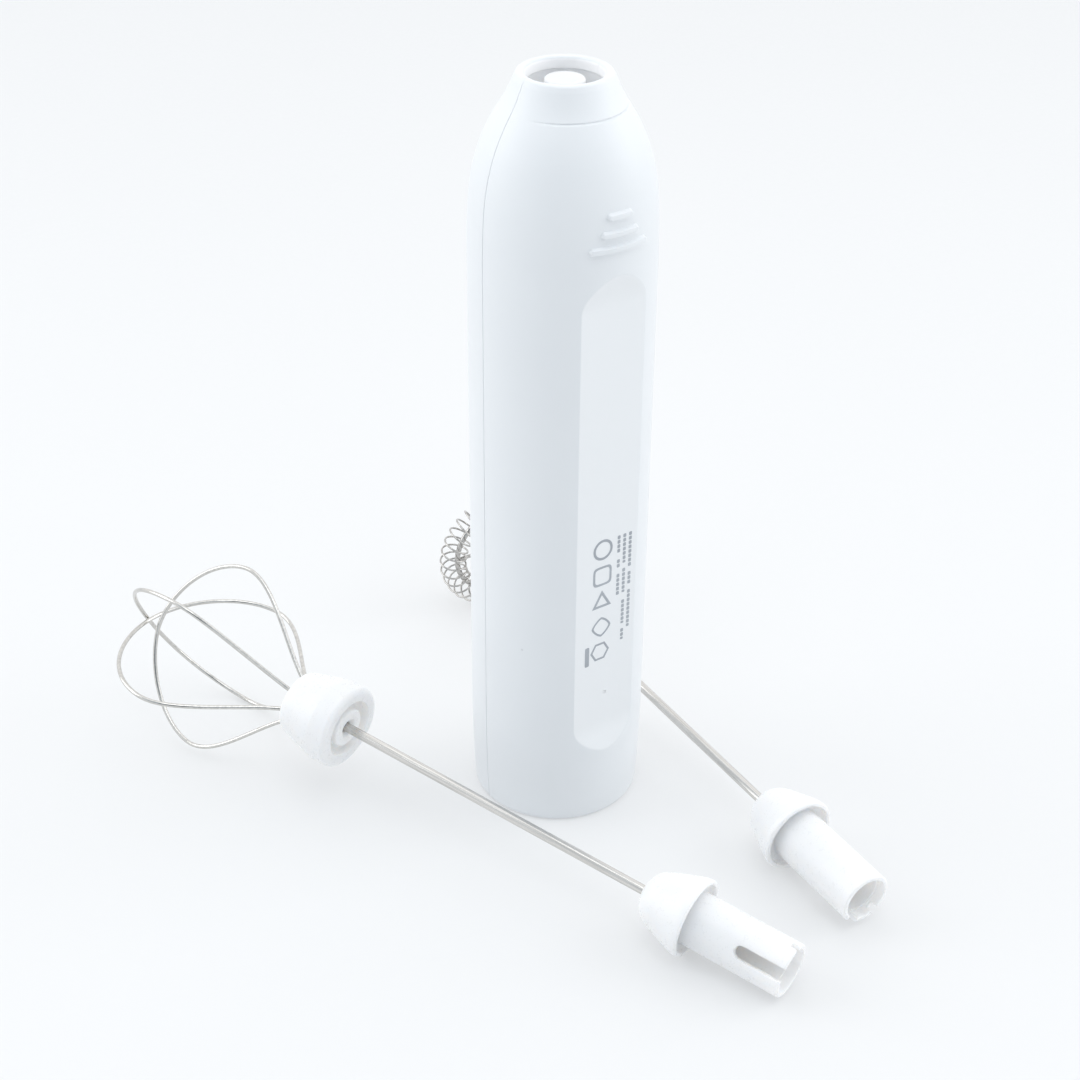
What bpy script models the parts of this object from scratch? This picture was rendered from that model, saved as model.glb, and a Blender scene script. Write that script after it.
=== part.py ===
"""Rechargeable handheld milk frother: an upright bottle-shaped handle with a motor, cell and circuit inside,
and two loose drive attachments lying beside it, a balloon whisk and a coil-ring frother.

Frame: metres, +Z up the handle's axis, origin at the centre of the handle's base. The button faces -Y, the
grip ribs and the flat label facet face +Y, and the seams between the two half shells lie at +X and -X.
"""

import math

import bmesh
import bpy
import numpy as np
from mathutils import Matrix, Vector

MM = 0.001
GAP = 0.3  # clearance kept between touching pieces

# ---- handle (mm) --------------------------------------------------------------------------------------
HANDLE_H = 176.0
BODY_R = 20.0
BASE_R = 18.0
RIM_R = 9.85
MOUTH_R = 8.06
FRONT_WALL = 1.8
REAR_WALL = 2.8
NECK_GROOVE_Z = 169.3
FACET_HALF_DEG = 24.0
FACET_Z = (19.3, 139.2)
FACET_RAMP = (5.6, 6.0)  # how far the lower and upper ends slope before they reach the flat
RIBS = ((151.4, 3.0), (148.2, 4.5), (145.2, 6.9))  # height, half length
RIB_T = 1.3
CUP_R = 6.8
CUP_Z = (148.6, 173.3)
POST_R = 4.2
POST_Z = (151.2, 174.4)
SHAFT_R = 1.0
BUTTON_Z = 126.0
BUTTON_R = 5.6
BUTTON_TRAVEL = 0.5
LED_Z = 112.0
MOTOR_Z = (110.0, 139.0)
MOTOR_R = 10.2
MOTOR_FLAT = 7.7
CELL_R = 9.15
CELL_Z = (24.0, 89.0)
CELL_Y = 5.5
BOARD_Y = (-12.0, -11.0)
BOARD_Z = (58.0, 134.0)
PORT_Y = -9.0

# ---- attachments (mm, degrees) --------------------------------------------------------------------------
COLLAR_R = 9.2
BARREL_R = 6.25
BARREL_L = 23.3
BORE_R = 4.45
SLOT_W = 3.1
SLOT_FROM = -11.7
WHISK_SLOT_DEG = 30.0
FROTHER_SLOT_DEG = -54.0
MOUTH_R = 4.9  # the bore widens from BORE_R at its floor to this, the draft it is moulded with
LEAD_IN_R = 5.15
LEAD_IN_L = 2.8
ROD_R = 1.12
WHISK_AT = (11.1, 68.75)
WHISK_AZ = 291.08
WHISK_TILT = 6.09
HUB_AT = 95.6
HUB_R = 10.2
HUB_NECK_R = 7.4
HUB_L = 15.6
HUB_FLANGE_L = 6.6
WIRE_R = 0.55
LOOP_ROOT = (108.7, 3.33)  # station along the axis, and radius, where each leg starts
# name: plane angle, widest half width, station of the widest point, reach of the tip, roundness of the tip
LOOPS = {
    "whisk_loop_a": (-62.6, 23.2, 27.4, 47.0, 1.75),
    "whisk_loop_b": (-119.5, 26.6, 29.4, 51.1, 2.15),
    "whisk_loop_c": (4.1, 24.7, 30.0, 50.0, 1.93),
}
LEG_SPREAD = 0.62
FROTHER_AT = (-25.15, 60.35)
FROTHER_AZ = 268.2
RING_AT = 131.0
COIL_OUT = 16.9
COIL_R = 3.4
COIL_TURNS = 32
COIL_WIRE_R = 0.25
RING_R = 11.9
RING_WIRE_R = 0.7
FROTHER_TILT = math.degrees(math.asin((COIL_OUT - COLLAR_R) / (RING_AT + 0.0)))

SEG = 32


# ---- helpers --------------------------------------------------------------------------------------------
for old in list(bpy.data.objects):
    bpy.data.objects.remove(old, do_unlink=True)


def material(name, colour, rough, metal=0.0, alpha=1.0):
    mat = bpy.data.materials.new(name)
    mat.use_nodes = True
    bsdf = mat.node_tree.nodes["Principled BSDF"]
    bsdf.inputs["Base Color"].default_value = (*colour, 1.0)
    bsdf.inputs["Roughness"].default_value = rough
    bsdf.inputs["Metallic"].default_value = metal
    bsdf.inputs["Alpha"].default_value = alpha
    return mat


FINISH = {
    "white_body": ((0.86, 0.87, 0.89), 0.42, 0.0),
    "white_cup": ((0.80, 0.81, 0.83), 0.45, 0.0),
    "white_part": ((0.88, 0.88, 0.88), 0.38, 0.0),
    "button": ((0.82, 0.84, 0.87), 0.35, 0.0),
    "steel": ((0.62, 0.61, 0.60), 0.28, 1.0),
    "wire": ((0.58, 0.57, 0.56), 0.22, 1.0),
    "can": ((0.60, 0.60, 0.61), 0.35, 1.0),
    "black": ((0.03, 0.03, 0.035), 0.55, 0.0),
    "copper": ((0.72, 0.38, 0.22), 0.35, 1.0),
    "brass": ((0.70, 0.55, 0.28), 0.35, 1.0),
    "ferrite": ((0.08, 0.08, 0.085), 0.6, 0.0),
    "board": ((0.03, 0.22, 0.10), 0.45, 0.0),
    "cell": ((0.10, 0.32, 0.55), 0.4, 0.0),
    "rubber": ((0.55, 0.56, 0.58), 0.7, 0.0),
    "clear": ((0.85, 0.90, 0.95), 0.15, 0.0),
    "lead_red": ((0.60, 0.04, 0.03), 0.5, 0.0),
}


def finish(obj, slot):
    colour, rough, metal = FINISH[slot]
    obj.data.materials.clear()
    obj.data.materials.append(material(obj.name + "_finish", colour, rough, metal))
    return obj


def add(name, mesh, slot=None, parent=None, smooth=True):
    obj = bpy.data.objects.new(name, mesh)
    bpy.context.scene.collection.objects.link(obj)
    if smooth and isinstance(mesh, bpy.types.Mesh):
        mesh.shade_smooth()
        mesh.set_sharp_from_angle(angle=math.radians(32))
    if slot:
        finish(obj, slot)
    if parent:
        obj.parent = parent
    return obj


def to_mesh(name, bm):
    bmesh.ops.recalc_face_normals(bm, faces=bm.faces)
    bmesh.ops.triangulate(bm, faces=bm.faces)
    mesh = bpy.data.meshes.new(name)
    bm.to_mesh(mesh)
    bm.free()
    return mesh


def lathe_mesh(name, profile, seg=SEG, turn=0.0):
    """Turn a closed (radius, height) outline about Z."""
    bm = bmesh.new()
    verts = [bm.verts.new((r * MM, 0.0, z * MM)) for r, z in profile]
    edges = [bm.edges.new((verts[i], verts[(i + 1) % len(verts)])) for i in range(len(verts))
             if not (profile[i][0] == 0 and profile[(i + 1) % len(verts)][0] == 0)]
    bmesh.ops.spin(bm, geom=verts + edges, cent=(0, 0, 0), axis=(0, 0, 1), angle=2 * math.pi, steps=seg,
                   use_merge=True, use_duplicate=False)
    bmesh.ops.remove_doubles(bm, verts=bm.verts, dist=1e-6)
    if turn:
        bmesh.ops.rotate(bm, verts=bm.verts, cent=(0, 0, 0), matrix=Matrix.Rotation(turn, 3, "Z"))
    return to_mesh(name, bm)


def lathe(name, profile, slot, seg=SEG, parent=None, turn=0.0):
    return add(name, lathe_mesh(name, profile, seg, turn), slot, parent)


def boxes_mesh(name, boxes):
    """Separate boxes, each ((low), (high)) in mm."""
    bm = bmesh.new()
    for low, high in boxes:
        size = [b - a for a, b in zip(low, high)]
        centre = [(a + b) / 2 for a, b in zip(low, high)]
        bmesh.ops.create_cube(bm, size=1.0, matrix=Matrix.Translation(Vector(centre) * MM)
                              @ Matrix.Diagonal((*[s * MM for s in size], 1.0)))
    return to_mesh(name, bm)


def rod_mesh(name, rods, seg=12):
    """Separate cylinders, each (start, end, radius) in mm."""
    bm = bmesh.new()
    for start, end, radius in rods:
        a, b = Vector(start) * MM, Vector(end) * MM
        axis = b - a
        turn = axis.to_track_quat("Z", "Y").to_matrix().to_4x4()
        bmesh.ops.create_cone(bm, cap_ends=True, segments=seg, radius1=radius * MM, radius2=radius * MM,
                              depth=axis.length, matrix=Matrix.Translation((a + b) / 2) @ turn)
    return to_mesh(name, bm)


def cutter(name, mesh, parent=None):
    obj = add(name, mesh, None, parent, smooth=False)
    obj.hide_render = True
    obj.display_type = "WIRE"
    return obj


def boolean(obj, other, operation="DIFFERENCE"):
    mod = obj.modifiers.new(operation.lower(), "BOOLEAN")
    mod.operation = operation
    mod.object = other
    mod.solver = "EXACT"
    return obj


def empty(name, location=(0, 0, 0)):
    obj = bpy.data.objects.new(name, None)
    obj.location = Vector(location) * MM
    bpy.context.scene.collection.objects.link(obj)
    return obj


def tube(name, points, radius, slot=None, parent=None, sides=2, cyclic=False):
    """A round wire along points in mm."""
    curve = bpy.data.curves.new(name, "CURVE")
    curve.dimensions = "3D"
    curve.bevel_depth = radius * MM
    curve.bevel_resolution = sides
    curve.use_fill_caps = True
    spline = curve.splines.new("POLY")
    spline.points.add(len(points) - 1)
    for point, co in zip(spline.points, points):
        point.co = (*(Vector(co) * MM), 1.0)
    spline.use_cyclic_u = cyclic
    obj = bpy.data.objects.new(name, curve)
    bpy.context.scene.collection.objects.link(obj)
    if slot:
        finish(obj, slot)
    if parent:
        obj.parent = parent
    return obj


def smooth_path(points, count):
    """Catmull-Rom curve through the points."""
    pts = [Vector(p) for p in points]
    pts = [2 * pts[0] - pts[1]] + pts + [2 * pts[-1] - pts[-2]]
    spans = len(pts) - 3
    out = []
    for k in range(count):
        u = k / (count - 1) * spans
        i = min(int(u), spans - 1)
        t = u - i
        a, b, c, d = pts[i:i + 4]
        out.append(0.5 * ((2 * b) + (c - a) * t + (2 * a - 5 * b + 4 * c - d) * t * t
                          + (3 * b - a - 3 * c + d) * t ** 3))
    return out


def tubes_mesh(name, paths, radius, seg=6):
    """Separate capped wires along several paths (mm), as one mesh."""
    bm = bmesh.new()
    for path in paths:
        pts = [Vector(p) for p in path]
        rings, up = [], None
        for i, p in enumerate(pts):
            d = (pts[min(i + 1, len(pts) - 1)] - pts[max(i - 1, 0)]).normalized()
            up = d.orthogonal().normalized() if up is None else (up - d * up.dot(d)).normalized()
            side = d.cross(up)
            rings.append([bm.verts.new((p + radius * (math.cos(2 * math.pi * k / seg) * up
                                                      + math.sin(2 * math.pi * k / seg) * side)) * MM)
                          for k in range(seg)])
        for a, b in zip(rings, rings[1:]):
            for k in range(seg):
                bm.faces.new((a[k], a[(k + 1) % seg], b[(k + 1) % seg], b[k]))
        bm.faces.new(rings[0][::-1])
        bm.faces.new(rings[-1])
    return to_mesh(name, bm)


# ---- handle shells --------------------------------------------------------------------------------------
OUTER = [(BASE_R, 0.0), (18.75, 0.5), (19.2, 1.5), (19.45, 3.4), (19.65, 7.0), (19.85, 13.0), (BODY_R, 21.0),
         (BODY_R, 140.0), (19.85, 146.0), (19.5, 151.0), (18.6, 156.3), (17.5, 160.2), (15.1, 165.4), (13.3, 168.75)]
NECK = [(12.75, 169.75), (12.1, 170.9), (10.9, 173.4), (10.05, 175.15), (RIM_R - 0.25, 175.75), (9.1, HANDLE_H),
        (8.6, 175.9), (MOUTH_R + 0.15, 175.6), (MOUTH_R, 175.2), (7.8, 173.6)]


def shell_outline(wall, groove):
    """Closed (radius, height) outline of a half shell's wall, from the base up the outside and down the inside."""
    out = list(OUTER)
    if groove:
        out += [(12.95, NECK_GROOVE_Z), (12.55, NECK_GROOVE_Z + 0.05)]
    out += NECK
    inner = [(9.1, 173.6), (9.1, 170.6), (11.2, 168.0), (13.9, 163.0), (15.9, 158.0)]
    top = BODY_R - wall
    inner = [(min(r, top), z) for r, z in inner]
    inner += [(top - 0.7, 150.5), (top, 143.5), (top, 8.0), (top - 0.9, 3.0), (16.0, 2.0), (16.0, 0.0)]
    return out + inner


def half_shell(name, wall, side, groove):
    obj = lathe(name, shell_outline(wall, groove), "white_body", seg=32)
    far = 40.0
    low, high = (-far, -far, -5.0), (far, 0.15, HANDLE_H + 5)
    if side < 0:
        low, high = (-far, -0.15, -5.0), (far, far, HANDLE_H + 5)
    boolean(obj, cutter(name + "_half", boxes_mesh(name + "_half", [(low, high)])))
    return obj


front = half_shell("front_shell", FRONT_WALL, -1, False)
rear = half_shell("rear_shell", REAR_WALL, 1, True)

# button and lamp holes in the front shell
boolean(front, cutter("button_hole", rod_mesh("button_hole", [((0, -30, BUTTON_Z), (0, -12, BUTTON_Z), BUTTON_R + 0.35)], 24)))
boolean(front, cutter("lamp_hole", rod_mesh("lamp_hole", [((0, -30, LED_Z), (0, -12, LED_Z), 1.55)], 12)))


def facet_cutter():
    """A long block whose near face is the flat, with an end that slopes out to the cylinder at top and bottom."""
    depth = BODY_R * math.cos(math.radians(FACET_HALF_DEG))
    rise = BODY_R - depth
    low, high = FACET_Z
    steep_low, steep_high = rise / FACET_RAMP[0], rise / FACET_RAMP[1]
    outline = [(depth, low + FACET_RAMP[0]), (depth, high - FACET_RAMP[1]), (depth + rise + 6 * steep_high, high + 6.0),
               (depth + 10.0, high + 6.0), (depth + 10.0, low - 6.0), (depth + rise + 6 * steep_low, low - 6.0)]
    bm = bmesh.new()
    face = bm.faces.new([bm.verts.new((-15 * MM, y * MM, z * MM)) for y, z in outline])
    got = bmesh.ops.extrude_face_region(bm, geom=[face])
    bmesh.ops.translate(bm, verts=[v for v in got["geom"] if isinstance(v, bmesh.types.BMVert)], vec=(30 * MM, 0, 0))
    return to_mesh("facet", bm)


boolean(rear, cutter("facet", facet_cutter()))


def rib_mesh():
    """Three raised bars that follow the curve of the rear shell, longer towards the bottom."""
    bm = bmesh.new()
    for z, half in RIBS:
        base = np.interp(z, [p[1] for p in OUTER], [p[0] for p in OUTER])
        steps = 8
        rings = []
        for k in range(steps + 1):
            a = math.pi / 2 + math.asin(half / base) * (1 - 2 * k / steps)
            t = RIB_T / 2 * (0.55 if k in (0, steps) else 1.0)
            ring = []
            for dr, dz in ((-0.8, -t), (0.25, -t), (0.7, -t * 0.4), (0.7, t * 0.4), (0.25, t), (-0.8, t)):
                r = base + dr * (1.0 if k not in (0, steps) or dr < 0 else 0.7)
                ring.append(bm.verts.new((r * math.cos(a) * MM, r * math.sin(a) * MM, (z + dz) * MM)))
            rings.append(ring)
        for a, b in zip(rings, rings[1:]):
            for k in range(6):
                bm.faces.new((a[k], a[(k + 1) % 6], b[(k + 1) % 6], b[k]))
        bm.faces.new(rings[0][::-1])
        bm.faces.new(rings[-1])
    return to_mesh("ribs", bm)


boolean(rear, cutter("ribs", rib_mesh()), "UNION")

# ---- neck, base -----------------------------------------------------------------------------------------
lathe("neck_cup", [(8.7, CUP_Z[1]), (7.75, CUP_Z[1]), (CUP_R + 0.25, 172.0), (CUP_R, 171.0), (CUP_R, 150.6), (2.9, 150.6),
                   (2.9, CUP_Z[0]), (8.0, CUP_Z[0]), (8.0, 169.8), (8.7, 170.4)], "white_cup", seg=24)
lathe("shaft_seal", [(SHAFT_R + GAP, 148.8), (2.6, 148.8), (2.6, 150.4), (SHAFT_R + GAP, 150.4)], "rubber", seg=12)

cap = lathe("base_cap", [(0, 0.0), (15.6, 0.0), (15.6, 1.9), (14.7, 2.2), (14.7, 5.0), (13.3, 5.0), (13.3, 2.2), (0, 2.2)],
            "white_body", seg=24)
port_hole = []
for k in range(8):
    a = -math.pi / 2 + math.pi * k / 7
    port_hole.append((3.0 + 1.95 * math.cos(a), PORT_Y + 1.95 * math.sin(a)))
for k in range(8):
    a = math.pi / 2 + math.pi * k / 7
    port_hole.append((-3.0 + 1.95 * math.cos(a), PORT_Y + 1.95 * math.sin(a)))


def prism_mesh(name, outline, z0, z1):
    bm = bmesh.new()
    face = bm.faces.new([bm.verts.new((x * MM, y * MM, z0 * MM)) for x, y in outline])
    got = bmesh.ops.extrude_face_region(bm, geom=[face])
    bmesh.ops.translate(bm, verts=[v for v in got["geom"] if isinstance(v, bmesh.types.BMVert)],
                        vec=(0, 0, (z1 - z0) * MM))
    return to_mesh(name, bm)


boolean(cap, cutter("port_hole", prism_mesh("port_hole", port_hole, -2.0, 4.0)))
SCREW_XY = ((10.5, 3.0), (-10.5, 3.0))
boolean(cap, cutter("base_screw_holes", rod_mesh("base_screw_holes", [((x, y, -2), (x, y, 1.4), 2.7) for x, y in SCREW_XY])))
boolean(cap, cutter("base_screw_bores", rod_mesh("base_screw_bores", [((x, y, 1.0), (x, y, 4), 1.45) for x, y in SCREW_XY])))


def screw_mesh(name, top, direction, head_r, head_l, shank_r, shank_l, seg=12):
    """A pan-head screw from the top of its head along a direction, in mm."""
    bm = bmesh.new()
    turn = Vector(direction).normalized().to_track_quat("Z", "Y").to_matrix()
    outline = [(0, 0), (head_r * 0.8, 0), (head_r, head_l * 0.4), (head_r, head_l), (shank_r, head_l),
               (shank_r, head_l + shank_l - 0.5), (0.3, head_l + shank_l), (0, head_l + shank_l)]
    rings = []
    for r, z in outline:
        count = seg if r else 1
        rings.append([bm.verts.new((Vector(top) + turn @ Vector((r * math.cos(2 * math.pi * k / seg),
                                                                 r * math.sin(2 * math.pi * k / seg), z))) * MM)
                      for k in range(count)])
    for a, b in zip(rings, rings[1:]):
        for k in range(seg):
            if len(a) == 1:
                bm.faces.new((a[0], b[(k + 1) % seg], b[k]))
            elif len(b) == 1:
                bm.faces.new((a[k], a[(k + 1) % seg], b[0]))
            else:
                bm.faces.new((a[k], a[(k + 1) % seg], b[(k + 1) % seg], b[k]))
    return to_mesh(name, bm)


SIDES = ((1, "right"), (-1, "left"))
for (x, y), (_, side) in zip(SCREW_XY, SIDES):
    add("base_screw_" + side, screw_mesh("base_screw", (x, y, 0.1), (0, 0, 1), 2.3, 1.0, 1.1, 8.0), "steel")

# ---- inner frame, cell, board ---------------------------------------------------------------------------
frame_obj = add("inner_frame", boxes_mesh("inner_frame", [((-11.0, -6.7, 8.0), (11.0, -5.0, 104.0))]), "black", smooth=False)
boolean(frame_obj, cutter("frame_foot", boxes_mesh("frame_foot", [((-13.0, -6.2, 7.0), (13.0, 8.0, 9.6))])), "UNION")
boolean(frame_obj, cutter("frame_lower", boxes_mesh("frame_lower", [((-8.0, -6.2, 19.5), (8.0, 12.0, 21.5))])), "UNION")
boolean(frame_obj, cutter("frame_upper", boxes_mesh("frame_upper", [((-8.0, -6.2, 92.0), (8.0, 12.0, 94.0))])), "UNION")
BOARD_POSTS = (66.0, 98.0)
boolean(frame_obj, cutter("board_posts", rod_mesh("board_posts", [((0, -6.0, z), (0, -10.7, z), 2.2) for z in BOARD_POSTS])), "UNION")
boolean(frame_obj, cutter("post_bores", rod_mesh("post_bores", [((0, -7.5, z), (0, -12, z), 1.3) for z in BOARD_POSTS])))
boolean(frame_obj, cutter("foot_bores", rod_mesh("foot_bores", [((x, y, 6), (x, y, 12), 1.4) for x, y in SCREW_XY])))

cell = lathe("battery_cell", [(0, CELL_Z[0]), (CELL_R - 0.6, CELL_Z[0]), (CELL_R, CELL_Z[0] + 0.6), (CELL_R, 84.5),
                              (CELL_R - 0.45, 85.3), (CELL_R, 86.1), (CELL_R, 87.2), (CELL_R - 0.6, 87.8), (3.2, 87.8),
                              (3.2, CELL_Z[1]), (0, CELL_Z[1])], "cell", seg=24)
cell.location = (0, CELL_Y * MM, 0)
for tab, z in (("lower", CELL_Z[0] - 0.7), ("upper", CELL_Z[1] + 0.3)):
    add("battery_tab_" + tab, boxes_mesh("battery_tab", [((-3.0, -4.2, z), (3.0, 8.0, z + 0.4))]), "steel", smooth=False)

board = add("circuit_board", boxes_mesh("circuit_board", [((-8.0, BOARD_Y[0], BOARD_Z[0]), (8.0, BOARD_Y[1], BOARD_Z[1]))]), "board", smooth=False)
boolean(board, cutter("board_holes", rod_mesh("board_holes", [((0, -14, z), (0, -9, z), 1.4) for z in BOARD_POSTS])))
for side, z in zip(("lower", "upper"), BOARD_POSTS):
    add("board_screw_" + side, screw_mesh("board_screw", (0, -13.6, z), (0, 1, 0), 2.1, 1.3, 1.0, 4.0), "steel")

switch = add("tact_switch", boxes_mesh("tact_switch", [((-3.0, -14.9, BUTTON_Z - 3.0), (3.0, BOARD_Y[0] - GAP, BUTTON_Z + 3.0))]), "black", smooth=False)
boolean(switch, cutter("plunger_hole", rod_mesh("plunger_hole", [((0, -17, BUTTON_Z), (0, -12.9, BUTTON_Z), 1.9)])))
add("status_led", boxes_mesh("status_led", [((-0.8, -13.1, LED_Z - 0.8), (0.8, BOARD_Y[0] - GAP, LED_Z + 0.8))]), "clear", smooth=False)
add("light_pipe", rod_mesh("light_pipe", [((0, -13.5, LED_Z), (0, -19.95, LED_Z), 1.2)], 12), "clear")

# ---- charging socket ------------------------------------------------------------------------------------


def stadium(half_w, r, y):
    out = [(half_w + r * math.cos(a), y + r * math.sin(a)) for a in [-math.pi / 2 + math.pi * k / 6 for k in range(7)]]
    return out + [(-half_w + r * math.cos(a), y + r * math.sin(a)) for a in [math.pi / 2 + math.pi * k / 6 for k in range(7)]]


port = add("charge_port", prism_mesh("charge_port", stadium(2.9, 1.6, PORT_Y), 0.6, 7.9), "steel")
boolean(port, cutter("port_mouth", prism_mesh("port_mouth", stadium(2.9, 1.3, PORT_Y), -0.5, 6.9)))
add("charge_board", boxes_mesh("charge_board", [((-6.5, -12.0, 5.4), (6.5, PORT_Y - 1.6 - GAP, 17.0))]), "board", smooth=False)

# ---- motor, on the handle -------------------------------------------------------------------------------


def motor_outline(r, flat, seg=24):
    """Round outline with two flats facing -Y and +Y."""
    return [(r * math.cos(2 * math.pi * k / seg), max(-flat, min(flat, r * math.sin(2 * math.pi * k / seg))))
            for k in range(seg)]


can = add("motor_can", prism_mesh("motor_can", motor_outline(MOTOR_R, MOTOR_FLAT), *MOTOR_Z), "can")
boolean(can, cutter("can_inside", prism_mesh("can_inside", motor_outline(MOTOR_R - 0.8, MOTOR_FLAT - 0.8), MOTOR_Z[0] - 3, MOTOR_Z[1] - 0.9)))
boolean(can, cutter("can_nose", rod_mesh("can_nose", [((0, 0, 130), (0, 0, 145), 3.2)], 16)))
MOTOR_SCREWS = ((6.0, 0.0), (-6.0, 0.0))
boolean(can, cutter("can_screw_holes", rod_mesh("can_screw_holes", [((x, y, 137), (x, y, 142), 1.4) for x, y in MOTOR_SCREWS])))
end = add("motor_end_cap", prism_mesh("motor_end_cap", motor_outline(MOTOR_R, MOTOR_FLAT), 107.5, MOTOR_Z[0] - GAP), "black")
boolean(end, cutter("end_spigot", prism_mesh("end_spigot", motor_outline(MOTOR_R - 1.2, MOTOR_FLAT - 1.2), 108.5, 112.0)), "UNION")
boolean(end, cutter("end_bore", rod_mesh("end_bore", [((0, 0, 100), (0, 0, 120), 3.2)], 16)))
boolean(end, cutter("end_slots", boxes_mesh("end_slots", [((-8.2, -1.7, 100), (-5.8, 1.7, 120)), ((5.8, -1.7, 100), (8.2, 1.7, 120))])))
for bush, z0, z1 in (("front", 137.2, 140.6), ("rear", 108.0, 111.4)):
    lathe("motor_bush_" + bush, [(SHAFT_R + GAP, z0), (2.85, z0), (2.85, z1), (SHAFT_R + GAP, z1)], "brass", seg=16)


def arc_mesh(name, middle, ri, ro, z0, z1, half_deg, seg=8):
    """An arc-shaped block about the handle's axis."""
    bm = bmesh.new()
    rings = []
    for k in range(seg + 1):
        a = middle + math.radians(half_deg) * (2 * k / seg - 1)
        rings.append([bm.verts.new((r * math.cos(a) * MM, r * math.sin(a) * MM, z * MM))
                      for r, z in ((ri, z0), (ro, z0), (ro, z1), (ri, z1))])
    for a, b in zip(rings, rings[1:]):
        for k in range(4):
            bm.faces.new((a[k], a[(k + 1) % 4], b[(k + 1) % 4], b[k]))
    bm.faces.new(rings[0][::-1])
    bm.faces.new(rings[-1])
    return to_mesh(name, bm)


for s, side in SIDES:
    add("motor_magnet_" + side, arc_mesh("motor_magnet", 0.0 if s > 0 else math.pi, 6.9, 9.0, 118.0, 134.5, 42), "ferrite")
    brush_x = sorted((s * 2.9, s * 5.4))
    add("motor_brush_" + side, boxes_mesh("motor_brush", [((brush_x[0], -0.9, 113.6), (brush_x[1], 0.9, 115.8))]), "copper", smooth=False)
    blade_x = sorted((s * 6.8, s * 7.2))
    add("motor_terminal_" + side, boxes_mesh("motor_terminal", [((blade_x[0], -1.2, 103.8), (blade_x[1], 1.2, 111.2))]), "brass", smooth=False)
mount = lathe("motor_mount", [(3.6, 140.9), (3.6, 143.4), (14.0, 143.4), (14.0, 146.4), (15.2, 146.4), (15.2, 136.5), (14.0, 136.5), (14.0, 140.9)][::-1],
              "black", seg=24)
boolean(mount, cutter("mount_holes", rod_mesh("mount_holes", [((x, y, 139), (x, y, 145), 1.4) for x, y in MOTOR_SCREWS])))
for (x, y), (_, side) in zip(MOTOR_SCREWS, SIDES):
    add("motor_screw_" + side, screw_mesh("motor_screw", (x, y, 145.3), (0, 0, -1), 2.2, 1.5, 1.0, 6.0), "steel")

# ---- wiring held inside the handle ----------------------------------------------------------------------
LEAD_R = 0.55
for s, side in SIDES:
    colour = "lead_red" if s > 0 else "black"
    tube("motor_lead_" + side, smooth_path([(s * 7.0, -1.6, 102.8), (s * 7.2, -4.6, 105.9), (s * 6.9, -8.2, 104.0), (s * 6.4, -10.2, 101.0)], 8), LEAD_R, colour)
    tube("charge_lead_" + side, smooth_path([(s * 2.2, -10.0, 17.9), (s * 3.2, -9.4, 28.0), (s * 3.6, -9.6, 46.0), (s * 3.0, -11.4, 56.9)], 8), LEAD_R, colour)
tube("battery_lead_upper", smooth_path([(9.6, 1.2, 91.0), (11.9, -1.5, 90.0), (12.4, -6.0, 87.5), (10.4, -9.6, 84.5), (6.6, -9.8, 82.0)], 10), LEAD_R, "lead_red")
tube("battery_lead_lower", smooth_path([(-9.6, 1.2, 22.0), (-12.2, -2.0, 24.5), (-12.9, -6.5, 40.0), (-11.4, -9.8, 62.0), (-8.6, -9.7, 74.0),
                                        (-6.2, -9.8, 80.0)], 14), LEAD_R, "black")

# ---- spindle: turns about the handle's axis -------------------------------------------------------------
spindle = empty("spindle_axis")
add("motor_shaft", rod_mesh("motor_shaft", [((0, 0, 107.8), (0, 0, 166.0), SHAFT_R)], 12), "steel", spindle)
arm = lathe("armature", [(SHAFT_R + GAP, 118.5), (6.3, 118.5), (6.3, 134.0), (SHAFT_R + GAP, 134.0)], "can", seg=24, parent=spindle)
boolean(arm, cutter("winding_slots", boxes_mesh("winding_slots", [((2.6, -0.6, 110), (9.0, 0.6, 140))]), spindle))
for k in (1, 2):
    slot_cut = cutter("winding_slot_%d" % k, boxes_mesh("winding_slot", [((2.6, -0.6, 110), (9.0, 0.6, 140))]), spindle)
    slot_cut.rotation_euler = (0, 0, 2 * math.pi * k / 3)
    boolean(arm, slot_cut)
lathe("commutator", [(SHAFT_R + GAP, 112.6), (2.5, 112.6), (2.5, 116.8), (SHAFT_R + GAP, 116.8)], "copper", seg=12, parent=spindle)
post = lathe("drive_post", [(SHAFT_R + GAP, POST_Z[0]), (POST_R, POST_Z[0]), (POST_R, 173.7), (POST_R - 0.25, 174.2), (POST_R - 0.75, POST_Z[1]),
                            (0, POST_Z[1]), (0, 166.4), (SHAFT_R + GAP, 166.4)], "white_part", seg=24, parent=spindle)
boolean(post, cutter("post_lug", boxes_mesh("post_lug", [((3.4, -1.3, 153.6), (5.9, 1.3, 160.6))]), spindle), "UNION")

# ---- button: slides along Y -----------------------------------------------------------------------------
press = empty("button_axis", (0, 0, BUTTON_Z))
cap_mesh = lathe_mesh("power_button", [(0, 15.9), (6.6, 15.9), (6.6, 16.45), (BUTTON_R, 16.6), (BUTTON_R, 19.6), (5.3, 20.1), (4.6, 20.35), (2.4, 20.2), (0, 20.1)], 24)
button = add("power_button", cap_mesh, "button", press)
button.rotation_euler = (math.radians(90), 0, 0)
plunger = add("switch_plunger", rod_mesh("switch_plunger", [((0, -13.6, 0), (0, -15.6, 0), 1.6)]), "black", press)

# ---- attachments ----------------------------------------------------------------------------------------


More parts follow.
